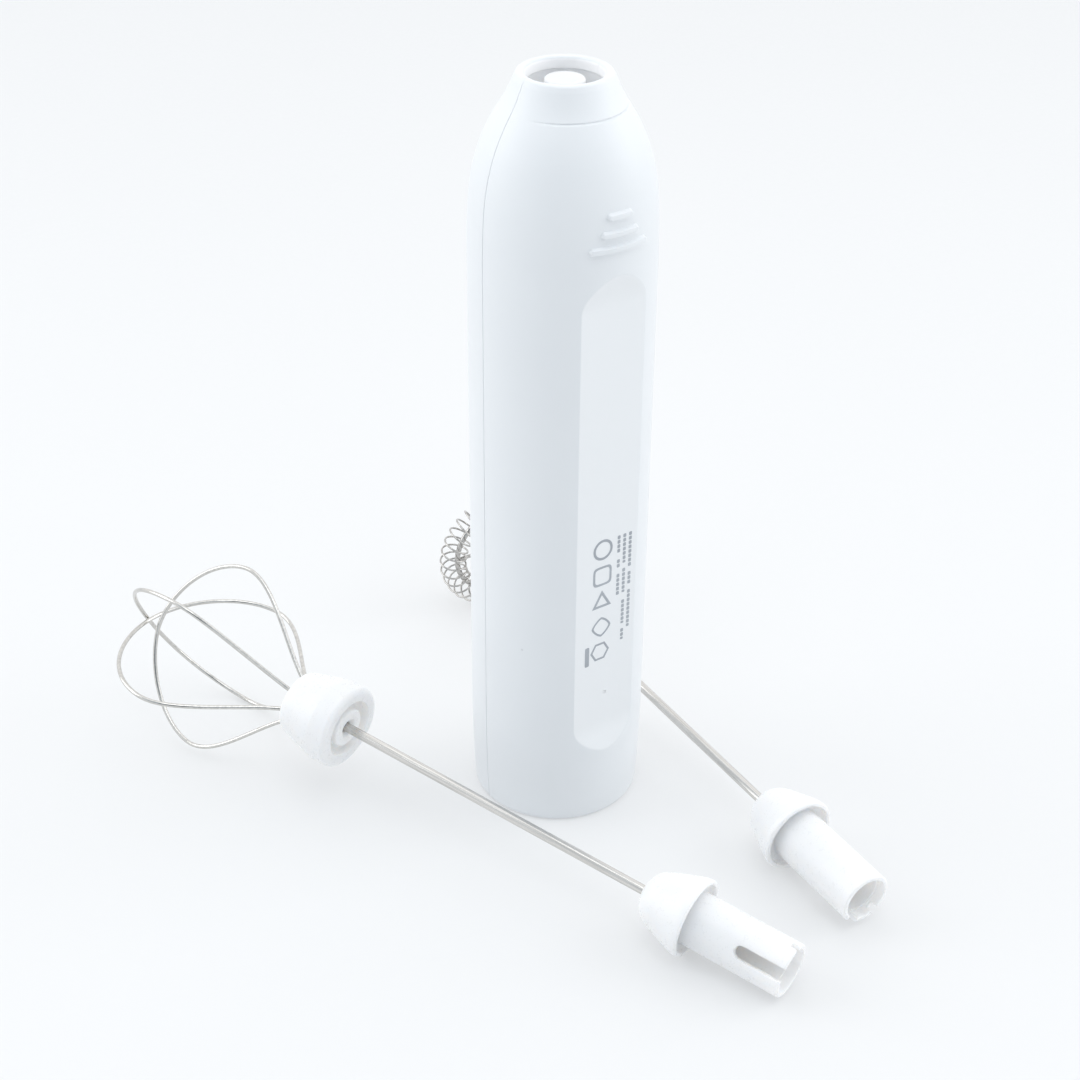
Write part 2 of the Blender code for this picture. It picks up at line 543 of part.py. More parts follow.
def lay_down(name, at, azimuth, tilt):
    """An empty whose local +Z runs along an attachment's axis, from its connector to its head, with the collar on the floor."""
    az, tl = math.radians(azimuth), math.radians(tilt)
    d = Vector((math.cos(az) * math.cos(tl), math.sin(az) * math.cos(tl), math.sin(tl)))
    u = Vector((0, 0, 1)).cross(d).normalized()
    v = d.cross(u)
    holder = empty(name, (at[0], at[1], COLLAR_R * math.cos(tl)))
    holder.rotation_euler = Matrix((u, v, d)).transposed().to_euler()
    return holder


def connector(name, holder, slot_deg):
    """Domed collar with a hollow barrel, which slips over the drive post; its slot takes the post's lug."""
    obj = lathe(name, [(MOUTH_R, -BARREL_L + LEAD_IN_L), (LEAD_IN_R, -BARREL_L + LEAD_IN_L - 0.2), (LEAD_IN_R, -BARREL_L), (BARREL_R - 0.3, -BARREL_L), (BARREL_R, -BARREL_L + 0.4),
                       (BARREL_R, 1.3), (8.1, 1.3), (8.1, 0.2), (8.35, 0.0), (9.0, 0.0), (COLLAR_R, 0.3), (8.6, 3.4), (7.6, 6.4), (6.6, 9.3),
                       (5.6, 10.9), (4.3, 12.1), (2.8, 12.9), (ROD_R + GAP, 13.2), (ROD_R + GAP, 2.6), (0, 2.6), (0, 0.4), (BORE_R, 0.4)],
                "white_part", seg=20, parent=holder)
    outline = [(SLOT_W / 2 * math.cos(math.pi * k / 6), SLOT_FROM - SLOT_W / 2 + SLOT_W / 2 * math.sin(math.pi * k / 6)) for k in range(7)]
    outline += [(-SLOT_W / 2, -BARREL_L - 2.0), (SLOT_W / 2, -BARREL_L - 2.0)]
    bm = bmesh.new()
    face = bm.faces.new([bm.verts.new((2.5 * MM, x * MM, z * MM)) for x, z in outline])
    got = bmesh.ops.extrude_face_region(bm, geom=[face])
    bmesh.ops.translate(bm, verts=[v for v in got["geom"] if isinstance(v, bmesh.types.BMVert)], vec=(6 * MM, 0, 0))
    cut = cutter(name + "_slot", to_mesh("slot", bm), holder)
    cut.rotation_euler = (0, 0, math.radians(slot_deg))
    boolean(obj, cut)
    return obj


whisk = lay_down("whisk_axis", WHISK_AT, WHISK_AZ, WHISK_TILT)
connector("whisk_connector", whisk, WHISK_SLOT_DEG)
add("whisk_rod", rod_mesh("whisk_rod", [((0, 0, 3.0), (0, 0, HUB_AT + 8.0), ROD_R)], 12), "steel", whisk)
hub = lathe("whisk_hub", [(ROD_R + GAP, HUB_AT + 0.9), (2.5, HUB_AT + 0.3), (4.2, HUB_AT + 0.3), (4.7, HUB_AT + 0.8), (4.7, HUB_AT + 3.8),
                          (7.15, HUB_AT + 3.8), (7.15, HUB_AT + 0.3), (7.4, HUB_AT), (9.4, HUB_AT), (HUB_R, HUB_AT + 0.8),
                          (HUB_R, HUB_AT + 5.6), (9.4, HUB_AT + HUB_FLANGE_L), (HUB_NECK_R, HUB_AT + HUB_FLANGE_L + 0.3),
                          (HUB_NECK_R, HUB_AT + HUB_L - 0.9), (6.5, HUB_AT + HUB_L), (0, HUB_AT + HUB_L), (0, HUB_AT + 8.4),
                          (ROD_R + GAP, HUB_AT + 8.4)], "white_part", seg=20, parent=whisk)


def loop_points(angle, wide, wide_at, reach, roundness, legs=7, tip=9):
    """One wire of the balloon: two straight legs that spread from the hub to the widest point, and a rounded crossing tip."""
    root_s, root_w = LOOP_ROOT
    half = []
    slope = (wide - root_w) / wide_at * LEG_SPREAD
    for k in range(legs):
        t = k / legs
        h00, h10, h01 = 2 * t ** 3 - 3 * t ** 2 + 1, t ** 3 - 2 * t ** 2 + t, -2 * t ** 3 + 3 * t ** 2
        half.append((wide_at * t, h00 * root_w + h10 * wide_at * slope + h01 * wide))
    for k in range(tip):
        a = math.pi / 2 * k / tip
        half.append((wide_at + (reach - wide_at) * math.sin(a) ** (2 / roundness), wide * math.cos(a) ** (2 / roundness)))
    half = [(-3.2, root_w - 1.0)] + half
    line = half + [(reach, 0.0)] + [(s, -w) for s, w in reversed(half)]
    a = math.radians(angle)
    return [(w * math.cos(a), w * math.sin(a), root_s + s) for s, w in line]


for loop_name, spec in LOOPS.items():
    path = loop_points(*spec)
    tube(loop_name, path, WIRE_R, "wire", whisk, sides=2)
    for n, leg in enumerate((path[:4], path[-4:][::-1])):
        direction = Vector(leg[0]) - Vector(leg[1])
        start = Vector(leg[0]) + direction.normalized() * 0.6
        boolean(hub, cutter("%s_hole_%d" % (loop_name, n), tubes_mesh("hole", [[start, Vector(leg[1]), Vector(leg[2])]], WIRE_R + 0.36, 6), whisk))

frother = lay_down("frother_axis", FROTHER_AT, FROTHER_AZ, FROTHER_TILT)
connector("frother_connector", frother, FROTHER_SLOT_DEG)
add("frother_rod", rod_mesh("frother_rod", [((0, 0, 3.0), (0, 0, RING_AT - 2.3), ROD_R)], 12), "steel", frother)


def torus_mesh(name, major, minor, z, nu=32, nv=6):
    bm = bmesh.new()
    rings = []
    for i in range(nu):
        a = 2 * math.pi * i / nu
        rings.append([bm.verts.new(((major + minor * math.cos(2 * math.pi * j / nv)) * math.cos(a) * MM,
                                    (major + minor * math.cos(2 * math.pi * j / nv)) * math.sin(a) * MM,
                                    (z + minor * math.sin(2 * math.pi * j / nv)) * MM)) for j in range(nv)])
    for i in range(nu):
        a, b = rings[i], rings[(i + 1) % nu]
        for j in range(nv):
            bm.faces.new((a[j], b[j], b[(j + 1) % nv], a[(j + 1) % nv]))
    return to_mesh(name, bm)


ring = add("frother_ring", torus_mesh("frother_ring", RING_R, RING_WIRE_R, RING_AT), "wire", frother)
boolean(ring, cutter("ring_spoke", rod_mesh("ring_spoke", [((-RING_R, 0, RING_AT), (RING_R, 0, RING_AT), 0.5)], 8), frother), "UNION")
boolean(ring, cutter("ring_boss", rod_mesh("ring_boss", [((0, 0, RING_AT - 4.2), (0, 0, RING_AT + 1.4), 2.3)], 12), frother), "UNION")
boolean(ring, cutter("boss_bore", rod_mesh("boss_bore", [((0, 0, RING_AT - 6.0), (0, 0, RING_AT - 2.0), ROD_R + GAP)], 12), frother))


def coil_mesh(name, major, minor, turns, radius, z, per_turn=6, seg=4):
    """A spring wound round a circle, closed on itself; the winding misses the ring's cross bar between two turns."""
    bm = bmesh.new()
    count = turns * per_turn
    centres = []
    for i in range(count):
        a = 2 * math.pi * i / count
        b = 2 * math.pi * i / per_turn
        r = major + minor * math.cos(b)
        centres.append(Vector((r * math.cos(a), r * math.sin(a), z + minor * math.sin(b))))
    rings = []
    for i in range(count):
        d = (centres[(i + 1) % count] - centres[i - 1]).normalized()
        a = 2 * math.pi * i / count
        out = centres[i] - Vector((major * math.cos(a), major * math.sin(a), z))
        out = (out - d * out.dot(d)).normalized()
        side = d.cross(out)
        rings.append([bm.verts.new((centres[i] + radius * (math.cos(math.pi / 4 + math.pi / 2 * k) * out
                                                           + math.sin(math.pi / 4 + math.pi / 2 * k) * side) * 1.2) * MM)
                      for k in range(seg)])
    for i in range(count):
        a, b = rings[i], rings[(i + 1) % count]
        for k in range(seg):
            bm.faces.new((a[k], b[k], b[(k + 1) % seg], a[(k + 1) % seg]))
    return to_mesh(name, bm)


add("frother_coil", coil_mesh("frother_coil", COIL_OUT - 0.3 - COIL_R, COIL_R, COIL_TURNS, COIL_WIRE_R, RING_AT), "wire", frother, smooth=False)
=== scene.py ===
import math

import bmesh
import bpy
import numpy as np
from mathutils import Matrix, Vector


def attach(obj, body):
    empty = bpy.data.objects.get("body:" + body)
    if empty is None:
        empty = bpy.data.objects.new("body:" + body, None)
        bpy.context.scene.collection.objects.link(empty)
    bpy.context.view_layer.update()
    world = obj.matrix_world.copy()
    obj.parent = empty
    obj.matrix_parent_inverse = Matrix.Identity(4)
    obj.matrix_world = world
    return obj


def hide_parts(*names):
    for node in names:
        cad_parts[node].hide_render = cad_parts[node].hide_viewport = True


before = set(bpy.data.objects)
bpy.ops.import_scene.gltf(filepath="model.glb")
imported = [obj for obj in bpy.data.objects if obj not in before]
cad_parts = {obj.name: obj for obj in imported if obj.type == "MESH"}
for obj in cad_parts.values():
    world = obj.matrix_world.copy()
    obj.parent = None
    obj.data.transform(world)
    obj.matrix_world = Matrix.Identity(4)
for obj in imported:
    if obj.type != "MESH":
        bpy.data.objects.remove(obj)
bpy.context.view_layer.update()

MM = 0.001

# =========================================================================================================
# Dimensions, in mm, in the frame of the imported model
# =========================================================================================================
BODY_R = 20.0
RIM_R = 9.85
MOUTH_R = 8.06
TOP = 176.0
GROOVE_Z = 169.3
FACET_HALF_DEG = 24.0
FACET_Z = (19.3, 139.2)
FACET_RAMP = (5.6, 6.0)
RIBS = ((151.9, 3.0), (148.35, 4.5), (145.2, 6.95))
POST_R = 4.2
POST_TOP = 174.4
CUP_R = 6.8
BUTTON_Z = 126.0
BUTTON_R = 5.6
LED_Z = 112.0
PORT_Y = -9.0
SCREW_XY = ((10.5, 3.0), (-10.5, 3.0))

COLLAR_R = 9.2
BARREL_R = 6.25
BARREL_L = 23.3
BORE_R = 4.45
SLOT_W = 3.1
SLOT_FROM = -11.7
WHISK_SLOT_DEG, WHISK_NOTCH_DEG = 30.0, 100.0
FROTHER_SLOT_DEG, FROTHER_NOTCH_DEG = -54.0, -124.0
ROD_R = 1.12
WHISK_AT = (11.1, 68.75)
WHISK_AZ = 291.08
WHISK_TILT = 6.09
HUB_AT = 95.6
HUB_R = 10.2
HUB_NECK_R = 7.4
HUB_L = 15.6
WIRE_R = 0.55
LOOP_ROOT = (108.7, 3.33)
LOOPS = {
    "whisk_wire_a": ("whisk_loop_a", -62.6, 23.2, 27.4, 47.0, 1.75),
    "whisk_wire_b": ("whisk_loop_b", -119.5, 26.6, 29.4, 51.1, 2.15),
    "whisk_wire_c": ("whisk_loop_c", 4.1, 24.7, 30.0, 50.0, 1.93),
}
LEG_SPREAD = 0.62
FROTHER_AT = (-25.15, 60.35)
FROTHER_AZ = 268.2
RING_AT = 131.0
COIL_OUT = 16.9
COIL_R = 3.4
COIL_TURNS = 32
COIL_WIRE_R = 0.27
RING_R = 11.9
RING_WIRE_R = 0.7
FROTHER_TILT = math.degrees(math.asin((COIL_OUT - COLLAR_R) / RING_AT))

# camera, measured in a frame turned by VIEW_TURN about Z from this one
VIEW_TURN = 144.4
CAM_AT = (0.0, -389.9, 310.6)
CAM_PITCH, CAM_ROLL, CAM_YAW = 32.1, 0.46, -0.62
CAM_FOCAL_PX = 2030.0
FRAME_PX = 1080.0


# =========================================================================================================
# Mesh helpers
# =========================================================================================================
def new_object(name, mesh, body, replaces=(), matrix=None, sharp=35.0):
    if matrix is not None:  # keep the part's own coordinates, which its drawn streaks follow, then lay it in place
        own = np.empty(len(mesh.vertices) * 3, np.float32)
        mesh.vertices.foreach_get("co", own)
        mesh.attributes.new("local", "FLOAT_VECTOR", "POINT").data.foreach_set("vector", own)
        mesh.transform(matrix)
        mesh.update()
    obj = bpy.data.objects.new(name, mesh)
    bpy.context.scene.collection.objects.link(obj)
    if isinstance(mesh, bpy.types.Mesh) and sharp is not None:
        mesh.shade_smooth()
        mesh.set_sharp_from_angle(angle=math.radians(sharp))
    bpy.context.view_layer.update()
    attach(obj, body)
    if replaces:
        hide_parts(*replaces)
    return obj


def mesh_from(name, points, faces):
    mesh = bpy.data.meshes.new(name)
    mesh.from_pydata([tuple(p) for p in np.asarray(points, float)], [], faces)
    mesh.validate()
    mesh.update()
    return mesh


def grid_faces(rows, cols, close_rows=False, close_cols=False, offset=0, flip=False):
    out = []
    for i in range(rows if close_rows else rows - 1):
        for j in range(cols if close_cols else cols - 1):
            a = offset + i * cols + j
            b = offset + i * cols + (j + 1) % cols
            c = offset + ((i + 1) % rows) * cols + (j + 1) % cols
            d = offset + ((i + 1) % rows) * cols + j
            out.append((a, d, c, b) if flip else (a, b, c, d))
    return out


def outward(mesh):
    """Point every face outwards."""
    bm = bmesh.new()
    bm.from_mesh(mesh)
    bmesh.ops.recalc_face_normals(bm, faces=bm.faces)
    bm.to_mesh(mesh)
    bm.free()
    return mesh


def fillet(points, radii, step=math.radians(9)):
    """Round the corners of an outline in (r, z); radii has one number for each point, 0 keeps the corner."""
    out = []
    n = len(points)
    for i, (p, rad) in enumerate(zip(points, radii)):
        p = np.array(p, float)
        a, b = np.array(points[i - 1], float), np.array(points[(i + 1) % n], float)
        if rad <= 0:
            out.append(p)
            continue
        u, v = a - p, b - p
        lu, lv = np.linalg.norm(u), np.linalg.norm(v)
        u, v = u / lu, v / lv
        angle = math.acos(max(-1.0, min(1.0, float(u @ v))))
        if angle > math.pi - 0.02:
            out.append(p)
            continue
        reach = min(rad / math.tan(angle / 2), 0.49 * lu, 0.49 * lv)
        rad = reach * math.tan(angle / 2)
        centre = p + (u + v) / np.linalg.norm(u + v) * (rad / math.sin(angle / 2))
        start, end = p + u * reach - centre, p + v * reach - centre
        turn = math.pi - angle
        count = max(2, int(math.ceil(turn / step)))
        a0 = math.atan2(start[1], start[0])
        a1 = math.atan2(end[1], end[0])
        diff = (a1 - a0 + math.pi) % (2 * math.pi) - math.pi
        for k in range(count + 1):
            a = a0 + diff * k / count
            out.append(centre + rad * np.array([math.cos(a), math.sin(a)]))
    return out


def lathe(name, outline, seg=128):
    """Turn a closed outline of (radius, height) in mm about Z; points with radius 0 become poles."""
    outline = [tuple(p) for p in outline]
    clean = [p for i, p in enumerate(outline) if math.dist(p, outline[i - 1]) > 1e-5]
    angles = np.arange(seg) * 2 * np.pi / seg
    points, rings = [], []
    for r, z in clean:
        if abs(r) < 1e-6:
            rings.append([len(points)])
            points.append((0.0, 0.0, z * MM))
        else:
            start = len(points)
            rings.append(list(range(start, start + seg)))
            points += [(r * math.cos(a) * MM, r * math.sin(a) * MM, z * MM) for a in angles]
    faces = []
    for i in range(len(rings)):
        a, b = rings[i], rings[(i + 1) % len(rings)]
        if len(a) == 1 and len(b) == 1:
            continue
        for k in range(seg):
            m = (k + 1) % seg
            if len(a) == 1:
                faces.append((a[0], b[m], b[k]))
            elif len(b) == 1:
                faces.append((a[k], a[m], b[0]))
            else:
                faces.append((a[k], a[m], b[m], b[k]))
    return outward(mesh_from(name, points, faces))


def sweep(name, path, radius, sides=20, closed=False, caps=True, flat_end=0.0):
    """A round wire along a path (mm). Frames are carried along the path so that the wire doesn't twist."""
    path = np.asarray(path, float)
    n = len(path)
    if closed:
        tangent = np.roll(path, -1, 0) - np.roll(path, 1, 0)
    else:
        tangent = np.gradient(path, axis=0)
    tangent /= np.linalg.norm(tangent, axis=1)[:, None]
    up = np.cross(tangent[0], [0.0, 0.0, 1.0])
    if np.linalg.norm(up) < 1e-3:
        up = np.cross(tangent[0], [0.0, 1.0, 0.0])
    ups = []
    for t in tangent:
        up = up - t * (up @ t)
        up /= np.linalg.norm(up)
        ups.append(up.copy())
    ups = np.array(ups)
    side = np.cross(tangent, ups)
    if closed:  # spread the leftover twist over the whole loop
        left = math.atan2(float(ups[0] @ np.cross(tangent[0], ups[-1])), float(ups[0] @ ups[-1]))
        spin = np.linspace(0, left, n, endpoint=False)
        ups, side = (np.cos(spin)[:, None] * ups + np.sin(spin)[:, None] * side,
                     -np.sin(spin)[:, None] * ups + np.cos(spin)[:, None] * side)
    radii = np.full(n, float(radius)) if np.isscalar(radius) else np.asarray(radius, float)
    ang = np.arange(sides) * 2 * np.pi / sides
    pts = (path[:, None, :] + radii[:, None, None] * (np.cos(ang)[None, :, None] * ups[:, None, :]
                                                      + np.sin(ang)[None, :, None] * side[:, None, :]))
    faces = grid_faces(n, sides, close_rows=closed, close_cols=True)
    pts = pts.reshape(-1, 3)
    if not closed and caps:
        faces.append(tuple(range(sides))[::-1])
        faces.append(tuple(range((n - 1) * sides, n * sides)))
    return outward(mesh_from(name, pts * MM, faces))


def apply_boolean(mesh, cutters, operation="DIFFERENCE"):
    """Cut or join meshes with exact Booleans; returns the new mesh."""
    base = bpy.data.objects.new("base_work", mesh)
    bpy.context.scene.collection.objects.link(base)
    others = []
    for i, cut in enumerate(cutters):
        obj = bpy.data.objects.new("cut_work_%d" % i, cut)
        bpy.context.scene.collection.objects.link(obj)
        others.append(obj)
        mod = base.modifiers.new("b%d" % i, "BOOLEAN")
        mod.operation = operation
        mod.object = obj
        mod.solver = "EXACT"
    bpy.context.view_layer.update()
    result = bpy.data.meshes.new_from_object(base.evaluated_get(bpy.context.evaluated_depsgraph_get()))
    for obj in others + [base]:
        bpy.data.objects.remove(obj, do_unlink=True)
    bm = bmesh.new()
    bm.from_mesh(result)
    bmesh.ops.remove_doubles(bm, verts=bm.verts, dist=2e-7)
    bmesh.ops.dissolve_degenerate(bm, dist=1e-7, edges=bm.edges)
    bm.to_mesh(result)
    bm.free()
    return result


def prism(name, outline, low, high, axes=(0, 1, 2)):
    """Extrude an outline (mm) along the third axis."""
    pts = []
    for level in (low, high):
        for a, b in outline:
            p = [0.0, 0.0, 0.0]
            p[axes[0]], p[axes[1]], p[axes[2]] = a * MM, b * MM, level * MM
            pts.append(p)
    n = len(outline)
    faces = [tuple(range(n))[::-1], tuple(range(n, 2 * n))]
    faces += [(i, (i + 1) % n, n + (i + 1) % n, n + i) for i in range(n)]
    return outward(mesh_from(name, pts, faces))


def cylinder(name, start, end, radius, seg=48, end_radius=None):
    a, b = Vector(start) * MM, Vector(end) * MM
    axis = b - a
    turn = axis.to_track_quat("Z", "Y").to_matrix().to_4x4()
    bm = bmesh.new()
    bmesh.ops.create_cone(bm, cap_ends=True, segments=seg, radius1=radius * MM,
                          radius2=(radius if end_radius is None else end_radius) * MM,
                          depth=axis.length, matrix=Matrix.Translation((a + b) / 2) @ turn)
    mesh = bpy.data.meshes.new(name)
    bm.to_mesh(mesh)
    bm.free()
    return mesh


def joined(name, meshes):
    """Several meshes as one."""
    bm = bmesh.new()
    for mesh in meshes:
        bm.from_mesh(mesh)
    out = bpy.data.meshes.new(name)
    bm.to_mesh(out)
    bm.free()
    return out


# =========================================================================================================
# Materials
# =========================================================================================================
def mark_painted_fill_light(mesh, where):
    """Store how much of each point lies inside a hollow, where a lighter colour is painted in as fill light against the
    shade there; where() takes radius and height in millimetres.
    """
    co = np.empty(len(mesh.vertices) * 3, np.float32)
    mesh.vertices.foreach_get("co", co)
    co = co.reshape(-1, 3) / MM
    value = where(np.hypot(co[:, 0], co[:, 1]), co[:, 2]).astype(np.float32)
    mesh.attributes.new("painted_fill_light", "FLOAT", "POINT").data.foreach_set("value", value)
    return mesh


class Nodes:
    """A short way to wire a procedural material."""

    def __init__(self, name, local=False):
        self.mat = bpy.data.materials.new(name)
        self.mat.use_nodes = True
        self.tree = self.mat.node_tree
        self.tree.nodes.clear()
        self.out = self.tree.nodes.new("ShaderNodeOutputMaterial")
        self.bsdf = self.tree.nodes.new("ShaderNodeBsdfPrincipled")
        self.tree.links.new(self.bsdf.outputs[0], self.out.inputs["Surface"])
        if local:
            node = self.tree.nodes.new("ShaderNodeAttribute")
            node.attribute_name = "local"
            self.where = node.outputs["Vector"]
        else:
            self.where = self.tree.nodes.new("ShaderNodeTexCoord").outputs["Object"]
        self.bumps = None

    def link(self, a, b):
        self.tree.links.new(a, b)

    def set(self, **values):
        for key, value in values.items():
            socket = self.bsdf.inputs[key.replace("_", " ")]
            socket.default_value = value
        return self

    def mapping(self, scale=(1, 1, 1), turn=(0, 0, 0)):
        node = self.tree.nodes.new("ShaderNodeMapping")
        node.inputs["Scale"].default_value = scale
        node.inputs["Rotation"].default_value = turn
        self.link(self.where, node.inputs["Vector"])
        return node.outputs["Vector"]

    def noise(self, scale, detail=3.0, rough=0.55, stretch=None, distort=0.0):
        node = self.tree.nodes.new("ShaderNodeTexNoise")
        node.inputs["Scale"].default_value = scale
        node.inputs["Detail"].default_value = detail
        node.inputs["Roughness"].default_value = rough
        node.inputs["Distortion"].default_value = distort
        self.link(self.mapping(stretch) if stretch else self.where, node.inputs["Vector"])
        return node.outputs["Fac"]

    def voronoi(self, scale, feature="F1", out="Distance", randomness=1.0):
        node = self.tree.nodes.new("ShaderNodeTexVoronoi")
        node.feature = feature
        node.inputs["Scale"].default_value = scale
        node.inputs["Randomness"].default_value = randomness
        self.link(self.where, node.inputs["Vector"])
        return node.outputs[out]

    def attribute(self, name):
        node = self.tree.nodes.new("ShaderNodeAttribute")
        node.attribute_name = name
        return node.outputs["Fac"]

    def ramp(self, fac, stops):
        node = self.tree.nodes.new("ShaderNodeValToRGB")
        while len(node.color_ramp.elements) < len(stops):
            node.color_ramp.elements.new(0.5)
        for element, (pos, value) in zip(node.color_ramp.elements, stops):
            element.position = pos
            element.color = (*value, 1.0) if isinstance(value, tuple) else (value, value, value, 1.0)
        self.link(fac, node.inputs["Fac"])
        return node.outputs["Color"]

    def math(self, op, a, b=None, clamp=False):
        node = self.tree.nodes.new("ShaderNodeMath")
        node.operation = op
        node.use_clamp = clamp
        for i, v in enumerate((a, b)):
            if v is None:
                continue
            if isinstance(v, (int, float)):
                node.inputs[i].default_value = v
            else:
                self.link(v, node.inputs[i])
        return node.outputs[0]

    def range(self, fac, low, high, from_low=0.0, from_high=1.0):
        node = self.tree.nodes.new("ShaderNodeMapRange")
        node.inputs["From Min"].default_value = from_low
        node.inputs["From Max"].default_value = from_high
        node.inputs["To Min"].default_value = low
        node.inputs["To Max"].default_value = high
        self.link(fac, node.inputs["Value"])
        return node.outputs["Result"]

    def mix(self, fac, a, b):
        node = self.tree.nodes.new("ShaderNodeMix")
        node.data_type = "RGBA"
        for socket, v in ((node.inputs[0], fac), (node.inputs[6], a), (node.inputs[7], b)):
            if isinstance(v, tuple):
                socket.default_value = (*v, 1.0)
            elif isinstance(v, (int, float)):
                socket.default_value = v
            else:
                self.link(v, socket)
        return node.outputs[2]

    def bump(self, height, strength, distance):
        node = self.tree.nodes.new("ShaderNodeBump")
        node.inputs["Strength"].default_value = strength
        node.inputs["Distance"].default_value = distance
        self.link(height, node.inputs["Height"])
        if self.bumps is not None:
            self.link(self.bumps, node.inputs["Normal"])
        self.bumps = node.outputs["Normal"]
        self.link(self.bumps, self.bsdf.inputs["Normal"])

    def colour(self, socket):
        self.link(socket, self.bsdf.inputs["Base Color"])

    def rough(self, socket):
        self.link(socket, self.bsdf.inputs["Roughness"])


def moulded_white(name, light, dark, rough=(0.40, 0.50), grain=0.25, specks=0.0, coat=0.0, facet=None, glow=0.0, painted_fill_light=None):
    """Injection-moulded plastic: spark-eroded grain, faint flow mottling, and a few dust specks."""
    m = Nodes(name)
    m.set(IOR=1.5)
    if glow:  # light that travels through the thin plastic walls
        m.set(Subsurface_Weight=glow, Subsurface_Scale=0.003, Subsurface_Radius=(1.0, 0.92, 0.84))
    if coat:
        m.bsdf.inputs["Coat Weight"].default_value = coat
        m.bsdf.inputs["Coat Roughness"].default_value = 0.12
    flow = m.noise(38.0, detail=4.0, rough=0.5, distort=0.4)
    base = m.mix(m.range(flow, 0.0, 1.0, 0.3, 0.7), dark, light)
    cloud = m.noise(260.0, detail=2.0)
    base = m.mix(m.range(cloud, 0.0, 0.22, 0.35, 0.75), base, dark)
    if specks:
        near = m.voronoi(95.0)
        pick = m.noise(60.0, detail=0.0)
        dot = m.math("MULTIPLY", m.range(near, 1.0, 0.0, 0.018, 0.04), m.range(pick, 0.0, 1.0, 0.60, 0.66), clamp=True)
        base = m.mix(m.math("MULTIPLY", dot, specks, clamp=True), base, (0.36, 0.37, 0.39))
    grains = m.noise(2600.0, detail=2.0, rough=0.6)
    fine = m.noise(700.0, detail=2.0)
    r = m.range(grains, rough[0], rough[1], 0.3, 0.7)
    r = m.math("ADD", r, m.range(fine, -0.03, 0.03, 0.3, 0.7))
    # painted fill light: marked hollows take a lighter colour that stands in for light reaching into them
    if painted_fill_light:
        base = m.mix(m.attribute("painted_fill_light"), base, painted_fill_light)
    # painted light: the facet gets a lighter colour that stands in for the light its flat face catches; the added
    # roughness is its matte finish
    if facet:
        mask = m.attribute("facet")
        base = m.mix(mask, base, facet)
        r = m.math("ADD", r, m.math("MULTIPLY", mask, 0.12))
    m.colour(base)
    m.rough(r)
    m.bump(grains, grain, 0.00004)
    m.bump(m.noise(150.0, detail=1.0), 0.12, 0.00008)
    return m.mat


def metal(name, light, dark, rough=(0.18, 0.30), streak=(1.0, 1.0, 0.02), streak_scale=3200.0, bump=0.18, spots=0.0, aniso=0.0, local=False):
    """Drawn or turned metal with streaks along one axis and a few dull spots."""
    m = Nodes(name, local)
    m.set(Metallic=1.0)
    if aniso:
        m.bsdf.inputs["Anisotropic"].default_value = aniso
    lines = m.noise(streak_scale, detail=3.0, rough=0.6, stretch=streak)
    cloud = m.noise(90.0, detail=3.0)
    base = m.mix(m.range(lines, 0.0, 1.0, 0.32, 0.68), dark, light)
    base = m.mix(m.range(cloud, 0.0, 0.35, 0.4, 0.75), base, dark)
    if spots:
        dots = m.range(m.voronoi(420.0), 1.0, 0.0, 0.10, 0.22)
        pick = m.range(m.noise(120.0, detail=1.0), 0.0, 1.0, 0.55, 0.62)
        base = m.mix(m.math("MULTIPLY", m.math("MULTIPLY", dots, pick, clamp=True), spots), base, (0.20, 0.18, 0.16))
    m.colour(base)
    m.rough(m.math("ADD", m.range(lines, rough[0], rough[1], 0.3, 0.7), m.range(cloud, -0.03, 0.06, 0.3, 0.7)))
    m.bump(lines, bump, 0.00002)
    return m.mat


def coloured(name, light, dark, rough=(0.4, 0.55), scale=900.0, bump=0.2, spec=0.5, clear=0.0):
    """Plain moulded or sleeved material with grain."""
    m = Nodes(name)
    m.set(Specular_IOR_Level=spec)
    if clear:
        m.bsdf.inputs["Transmission Weight"].default_value = clear
        m.bsdf.inputs["IOR"].default_value = 1.49
    grain = m.noise(scale, detail=3.0)
    cloud = m.noise(80.0, detail=3.0)
    base = m.mix(m.range(cloud, 0.0, 1.0, 0.3, 0.7), dark, light)
    base = m.mix(m.range(grain, 0.0, 0.3, 0.4, 0.8), base, dark)
    m.colour(base)
    m.rough(m.range(grain, rough[0], rough[1], 0.3, 0.7))
    m.bump(grain, bump, 0.00005)
    return m.mat


def board_material():
    m = Nodes("solder_mask")
    tracks = m.voronoi(420.0, feature="DISTANCE_TO_EDGE")
    line = m.range(tracks, 1.0, 0.0, 0.03, 0.06)
    base = m.mix(line, (0.015, 0.13, 0.05), (0.05, 0.30, 0.12))
    m.colour(base)
    m.rough(m.range(m.noise(900.0), 0.28, 0.42, 0.3, 0.7))
    m.bump(line, 0.4, 0.00004)
    return m.mat


